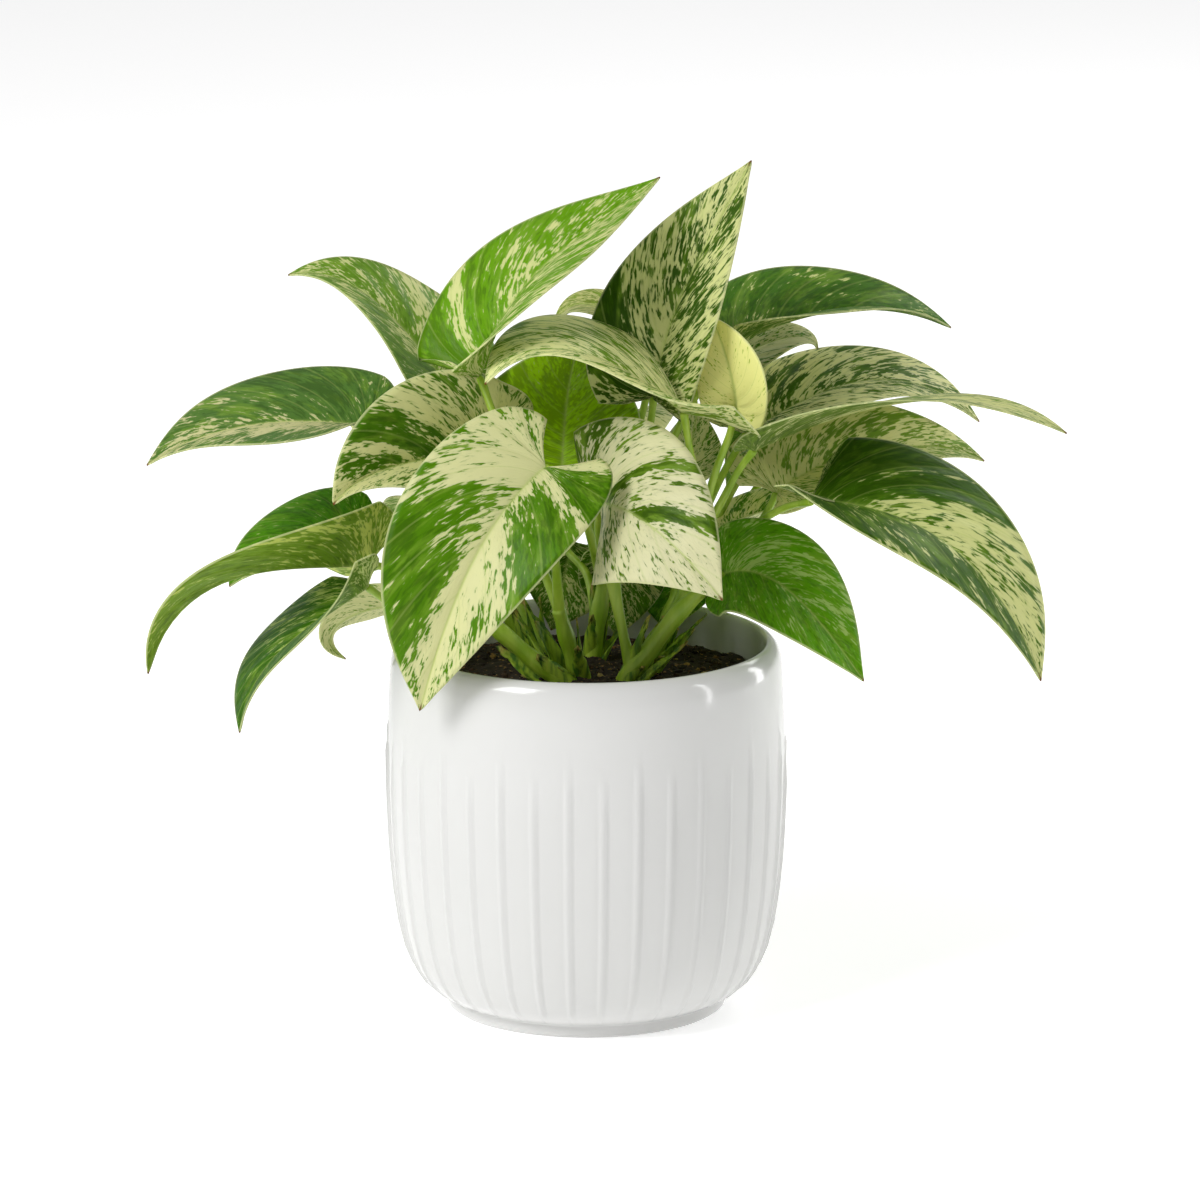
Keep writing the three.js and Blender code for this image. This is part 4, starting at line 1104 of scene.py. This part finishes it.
# %% The vines of the plant
vines = {
    "vine_1": {
        "stem": [(-9, -12, 112), (-19, -12, 121), (-28, -12, 129), (-35, -12, 135)], "thick": (3.6, 2.6),
        "stalks": {
            "leaf_06": [0.85, (-48, -8, 146), (-61, -5, 148)],
            "leaf_08": [0.95, (-52, -13, 137), (-63, -15, 139)],
            "leaf_09": [0.6, (-44, 6, 137), (-52, 17, 134)],
        },
    },
    "vine_2": {
        "stem": [(-3, -4, 112), (-6, -7, 124), (-9, -10, 136)], "thick": (3.4, 2.6),
        "stalks": {
            "leaf_01": [0.9, (-10, -16, 152), (-12, -25, 176)],
            "leaf_02": [1, (-17, -4, 155), (-27, 2, 174)],
            "leaf_03": [1, (-11, -20, 160), (-18, -23, 182), (-28, -20, 199)],
        },
    },
    "vine_3": {
        "stem": [(13, -11, 112), (21, -11, 123), (31, -11, 136), (39, -12, 144)], "thick": (3.8, 2.6),
        "stalks": {
            "leaf_10": [0.35, (9, -9, 140), (4, -7, 160)],
            "leaf_11": [0.95, (42, -10, 146)],
            "leaf_12": [0.95, (45, 2, 150), (55, 8, 160), (65, 5, 167)],
            "leaf_19": [0.3, (10, -8, 149), (17, 0, 176), (21, 8, 194)],
        },
    },
    "vine_4": {
        "stem": [(18, 2, 112), (26, 1, 126), (33, 1, 140)], "thick": (3.4, 2.6),
        "stalks": {
            "leaf_13": [0.95, (44, 9, 145), (53, 14, 154), (60, 18, 163)],
            "leaf_14": [0.9, (36, 12, 155), (45, 23, 174)],
            "leaf_15": [1, (39, 2, 159), (45, 1, 171), (50, -1, 181)],
            "leaf_17": [1, (35, -4, 160), (36, -9, 180), (34, -13, 190)],
            "young_leaf": [1, (39, -2, 168), (43, -4, 183), (47, -5, 194)],
        },
    },
    "vine_5": {
        "stem": [(-16, 12, 112), (-24, 14, 126), (-31, 15, 140)], "thick": (3.4, 2.6),
        "stalks": {
            "leaf_04": [1, (-38, 15, 165), (-44, 14, 190)],
            "leaf_05": [1, (-46, 14, 162), (-60, 12, 182)],
            "leaf_07": [0.9, (-46, 22, 144), (-62, 29, 149)],
        },
    },
    "vine_6": {
        "stem": [(2, 20, 112), (4, 21, 126), (6, 22, 140)], "thick": (3.4, 2.6),
        "stalks": {
            "leaf_16": [1, (20, 24, 168), (36, 26, 200)],
            "leaf_18": [0.9, (0, 14, 160), (-5, 9, 175)],
            "leaf_20": [1, (11, 30, 168), (19, 37, 194)],
            "leaf_21": [1, (18, 36, 162), (30, 47, 180)],
            "leaf_26": [0.95, (2, 32, 158), (0, 43, 172)],
            "leaf_29": [1, (9, 34, 153), (13, 46, 154)],
            "leaf_30": [0.6, (0, 30, 139), (-7, 38, 146)],
            "leaf_32": [0.9, (8, 27, 144)],
        },
    },
    "vine_7": {
        "stem": [(22, 20, 112), (27, 24, 124), (31, 28, 134)], "thick": (3.4, 2.6),
        "stalks": {
            "leaf_22": [1, (42, 42, 152), (53, 52, 170)],
            "leaf_23": [1, (33, 30, 150), (34, 30, 162)],
            "leaf_24": [0.9, (38, 28, 140), (44, 29, 146)],
            "leaf_27": [1, (46, 50, 148), (58, 63, 162)],
            "leaf_31": [0.7, (30, 34, 134), (31, 39, 137)],
        },
    },
    "vine_8": {
        "stem": [(-14, 30, 112), (-20, 35, 122), (-25, 39, 132)], "thick": (3.4, 2.6),
        "stalks": {
            "leaf_25": [1, (-32, 43, 155), (-37, 46, 168)],
            "leaf_28": [0.9, (-28, 44, 140), (-32, 48, 146)],
        },
    },
}
print("vines:", len(vines))

# %% [markdown]
# ## Tubes
#
# A tube could be a row of extruded rings, but a path with a bevel turns along its line by itself,
# and each of its points has a radius of its own. It is made a mesh at once, with closed ends.

# %% Draw a tube along a smooth line
tube_rounding = 3


def smooth_line(points, steps):
    """An even run of points along a curve through the given ones, with centripetal spacing."""
    spots = [np.array(p, float) for p in points]
    spots = [2 * spots[0] - spots[1], *spots, 2 * spots[-1] - spots[-2]]
    line = []
    for a, b, c, d in zip(spots, spots[1:], spots[2:], spots[3:]):
        t1 = np.linalg.norm(b - a) ** 0.5
        t2 = t1 + np.linalg.norm(c - b) ** 0.5
        t3 = t2 + np.linalg.norm(d - c) ** 0.5
        for t in np.linspace(t1, t2, steps, endpoint=False):
            ab = a + (b - a) * t / t1
            bc = b + (c - b) * (t - t1) / (t2 - t1)
            cd = c + (d - c) * (t - t2) / (t3 - t2)
            abc, bcd = ab + (bc - ab) * t / t2, bc + (cd - bc) * (t - t1) / (t3 - t1)
            line.append(abc + (bcd - abc) * (t - t1) / (t2 - t1))
    return np.array([*line, spots[-2]])


def add_tube(name, line, radii):
    bpy.ops.object.select_all(action="DESELECT")
    bpy.ops.curve.primitive_nurbs_path_add()
    path = bpy.context.object
    path.name = name
    path.data.splines.clear()
    spline = path.data.splines.new("POLY")
    spline.points.add(len(line) - 1)
    for point, spot, radius in zip(spline.points, line, radii):
        point.co = (*(spot * mm), 1)
        point.radius = radius
    path.data.bevel_depth = mm
    path.data.bevel_resolution = tube_rounding
    path.data.use_fill_caps = True
    bpy.ops.object.convert(target="MESH")
    return bpy.context.object


print("rounding of the tubes:", tube_rounding)

# %% [markdown]
# ## The skin of the stalks
#
# Fresh stalks are yellow-green and silky, with fine fibres along them. The stalks here stand nearly
# upright, so noise that is stretched along Z follows the fibres well enough, and slow clouds make
# some stretches greener.

# %% Finish the stalks
stalk_skin, tree, shader = finish("stalk_skin", roughness=0.42)
place = own_place(tree)
drawn_out = add_node(tree, "Mapping", {"Vector": place, "Scale": (260, 260, 34)}).outputs[0]
fibres = grain(tree, drawn_out, scale=1, detail=3)
streak = soft_step(tree, fibres, low=0.35, high=0.7)
green_skin = blend_colours(tree, streak, tint("#84a81c"), tint("#b2ca4c"))
cloud = soft_step(tree, grain(tree, place, scale=45, detail=2), low=0.35, high=0.65)
green_skin = blend_colours(tree, sum_of(tree, "MULTIPLY", cloud, 0.5), green_skin, tint("#8aae26"))
tree.links.new(green_skin, shader.inputs["Base Color"])
bump_skin(tree, shader, fibres, distance=0.0004, strength=0.3)
print("skin of the stalks:", stalk_skin.name)

# %% [markdown]
# ## Growing the vines
#
# Loose tubes would meet with hard creases. So all tubes of one vine are joined and skinned anew
# with a voxel remesh, which melts the joints together, and smoothed.

# %% Grow the vines
stem_sink = 12
stem_steps, stalk_steps = 8, 10
stem_swelling, stem_waves = 0.25, 19
stalk_radius, stalk_taper = 1.5, 0.25
clasp_swelling, clasp_fade = 0.5, 6
joint_swelling, joint_at, joint_width = 0.25, 0.97, 0.05
joint_sink = 0.3
skin_fineness = 0.45


def stem_radii(thick, thin, share):
    return thick + (thin - thick) * share + stem_swelling * np.sin(share * stem_waves)


def stalk_radii(share):
    """A little thicker where the sheath clasps the stem and just below the blade."""
    radii = stalk_radius - stalk_taper * share
    radii += clasp_swelling * np.exp(-share * clasp_fade)
    return radii + joint_swelling * np.exp(-((share - joint_at) / joint_width) ** 2)


def blade_joint(name):
    """Where a stalk ends, just below the surface of its blade."""
    leaf = {**usual, **leaves[name]}
    return bend_leaf(leaf, np.zeros(1), np.zeros(1), np.array([-joint_sink]))[0]


for name, plan in vines.items():
    start_piece(name)
    x, y, z = plan["stem"][0]
    stem = smooth_line([(x, y, z - stem_sink), *plan["stem"]], stem_steps)
    tubes = [add_tube(name, stem, stem_radii(*plan["thick"], np.linspace(0, 1, len(stem))))]
    for leaf_name, (leaves_at, *way) in plan["stalks"].items():
        start = stem[round(leaves_at * (len(stem) - 1))]
        line = smooth_line([start, *way, blade_joint(leaf_name)], stalk_steps)
        tubes.append(add_tube(name + "_stalk", line, stalk_radii(np.linspace(0, 1, len(line)))))
    vine = join_pieces(tubes)
    apply_modifier(vine, "REMESH", mode="VOXEL", voxel_size=skin_fineness * mm)
    apply_modifier(vine, "SMOOTH", factor=0.5, iterations=4)
    bpy.ops.object.transform_apply(location=True, rotation=True, scale=True)
    bpy.ops.object.shade_smooth()
    dress(vine, name + "_stalks", [name], [stalk_skin])
print("vines grown:", len(vines))

# %% [markdown]
# ## Old sheaths
#
# Round the foot of the stems stand the old sheaths that once wrapped the young leaves. They are
# thin, pointed and torn, green below and brown at the tip. A cone would be too regular, so one
# sheath is a grid rolled into an open scroll that narrows upwards. Its copies differ in height,
# turn and lean, and each stem gets a few.

# %% Stand the sheaths round the stems
sheaths_per_stem = 5
sheath_radius = 2.6
sheath_thickness = 0.3
sheath_widths = (0.8, 1.4)
sheath_heights = (10, 27)
sheath_leans = (0.05, 0.4)
sheath_gaps = (1, 4)
sheath_sink = 1.5
tear_layer = 1.7

start_piece("sheath")
bpy.ops.mesh.primitive_grid_add(x_subdivisions=8, y_subdivisions=14, size=2)
sheath = bpy.context.object
height_share = sheath.data.attributes.new("height_share", "FLOAT", "POINT")
for vertex in sheath.data.vertices:
    side, up = vertex.co.x, (vertex.co.y + 1) / 2
    height_share.data[vertex.index].value = up
    tear = noise.noise(Vector((side * 3, up * 4, tear_layer)))
    turn = side * (1.5 * (1 - up ** 2) + 0.05) + 0.5 * up * tear
    radius = sheath_radius * (1 - 0.35 * up + 0.3 * up * up)
    vertex.co = (radius * math.sin(turn) * mm, -radius * math.cos(turn) * mm, up + 0.06 * tear * up)
sheaths = []
for plan in vines.values():
    foot = Vector(plan["stem"][0])
    way = (Vector(plan["stem"][1]) - foot).normalized()
    for step in range(sheaths_per_stem):
        mesh = sheath.data.copy()
        turn = Matrix.Rotation(2 * math.pi * (step + random.random()) / sheaths_per_stem, 4, "Z")
        lean = way.to_track_quat("Z", "Y").to_matrix().to_4x4() @ turn
        lean = lean @ Matrix.Rotation(random.uniform(*sheath_leans), 4, "X")
        place = foot + turn @ Vector((0, -random.uniform(*sheath_gaps), -sheath_sink))
        wide, deep = random.uniform(*sheath_widths), random.uniform(*sheath_widths)
        stretch = Matrix.Diagonal((wide, deep, random.uniform(*sheath_heights) * mm, 1))
        mesh.transform(Matrix.Translation(place * mm) @ lean @ stretch)
        sheaths.append(stand_in_scene("sheath", mesh))
bpy.data.objects.remove(sheath)
old_sheaths = join_pieces(sheaths)
apply_modifier(old_sheaths, "SOLIDIFY", thickness=sheath_thickness * mm)
bpy.ops.object.shade_smooth()
print("sheaths:", len(sheaths))

# %% [markdown]
# ## The skin of the sheaths
#
# The sheaths dry out from the tip. The height that each point had on the flat sheath tells how dry
# it is, and the same stretched noise as on the stalks frays the line between green and brown.

# %% Finish the sheaths
sheath_skin, tree, shader = finish("sheath_skin", roughness=0.6)
stretched = {"Vector": own_place(tree), "Scale": (500, 500, 60)}
streak = grain(tree, add_node(tree, "Mapping", stretched).outputs[0], scale=1, detail=4)
green_share = soft_step(tree, streak, low=0.35, high=0.65)
old_green = blend_colours(tree, green_share, tint("#43700e"), tint("#a4c034"))
up = attribute(tree, "height_share")
dry = soft_step(tree, sum_of(tree, "MULTIPLY_ADD", streak, 0.8, up), low=1.15, high=1.5)
tree.links.new(blend_colours(tree, dry, old_green, tint("#a08a44")), shader.inputs["Base Color"])
dress(old_sheaths, "old_sheaths", [], [sheath_skin])
print("skin of the sheaths:", sheath_skin.name)
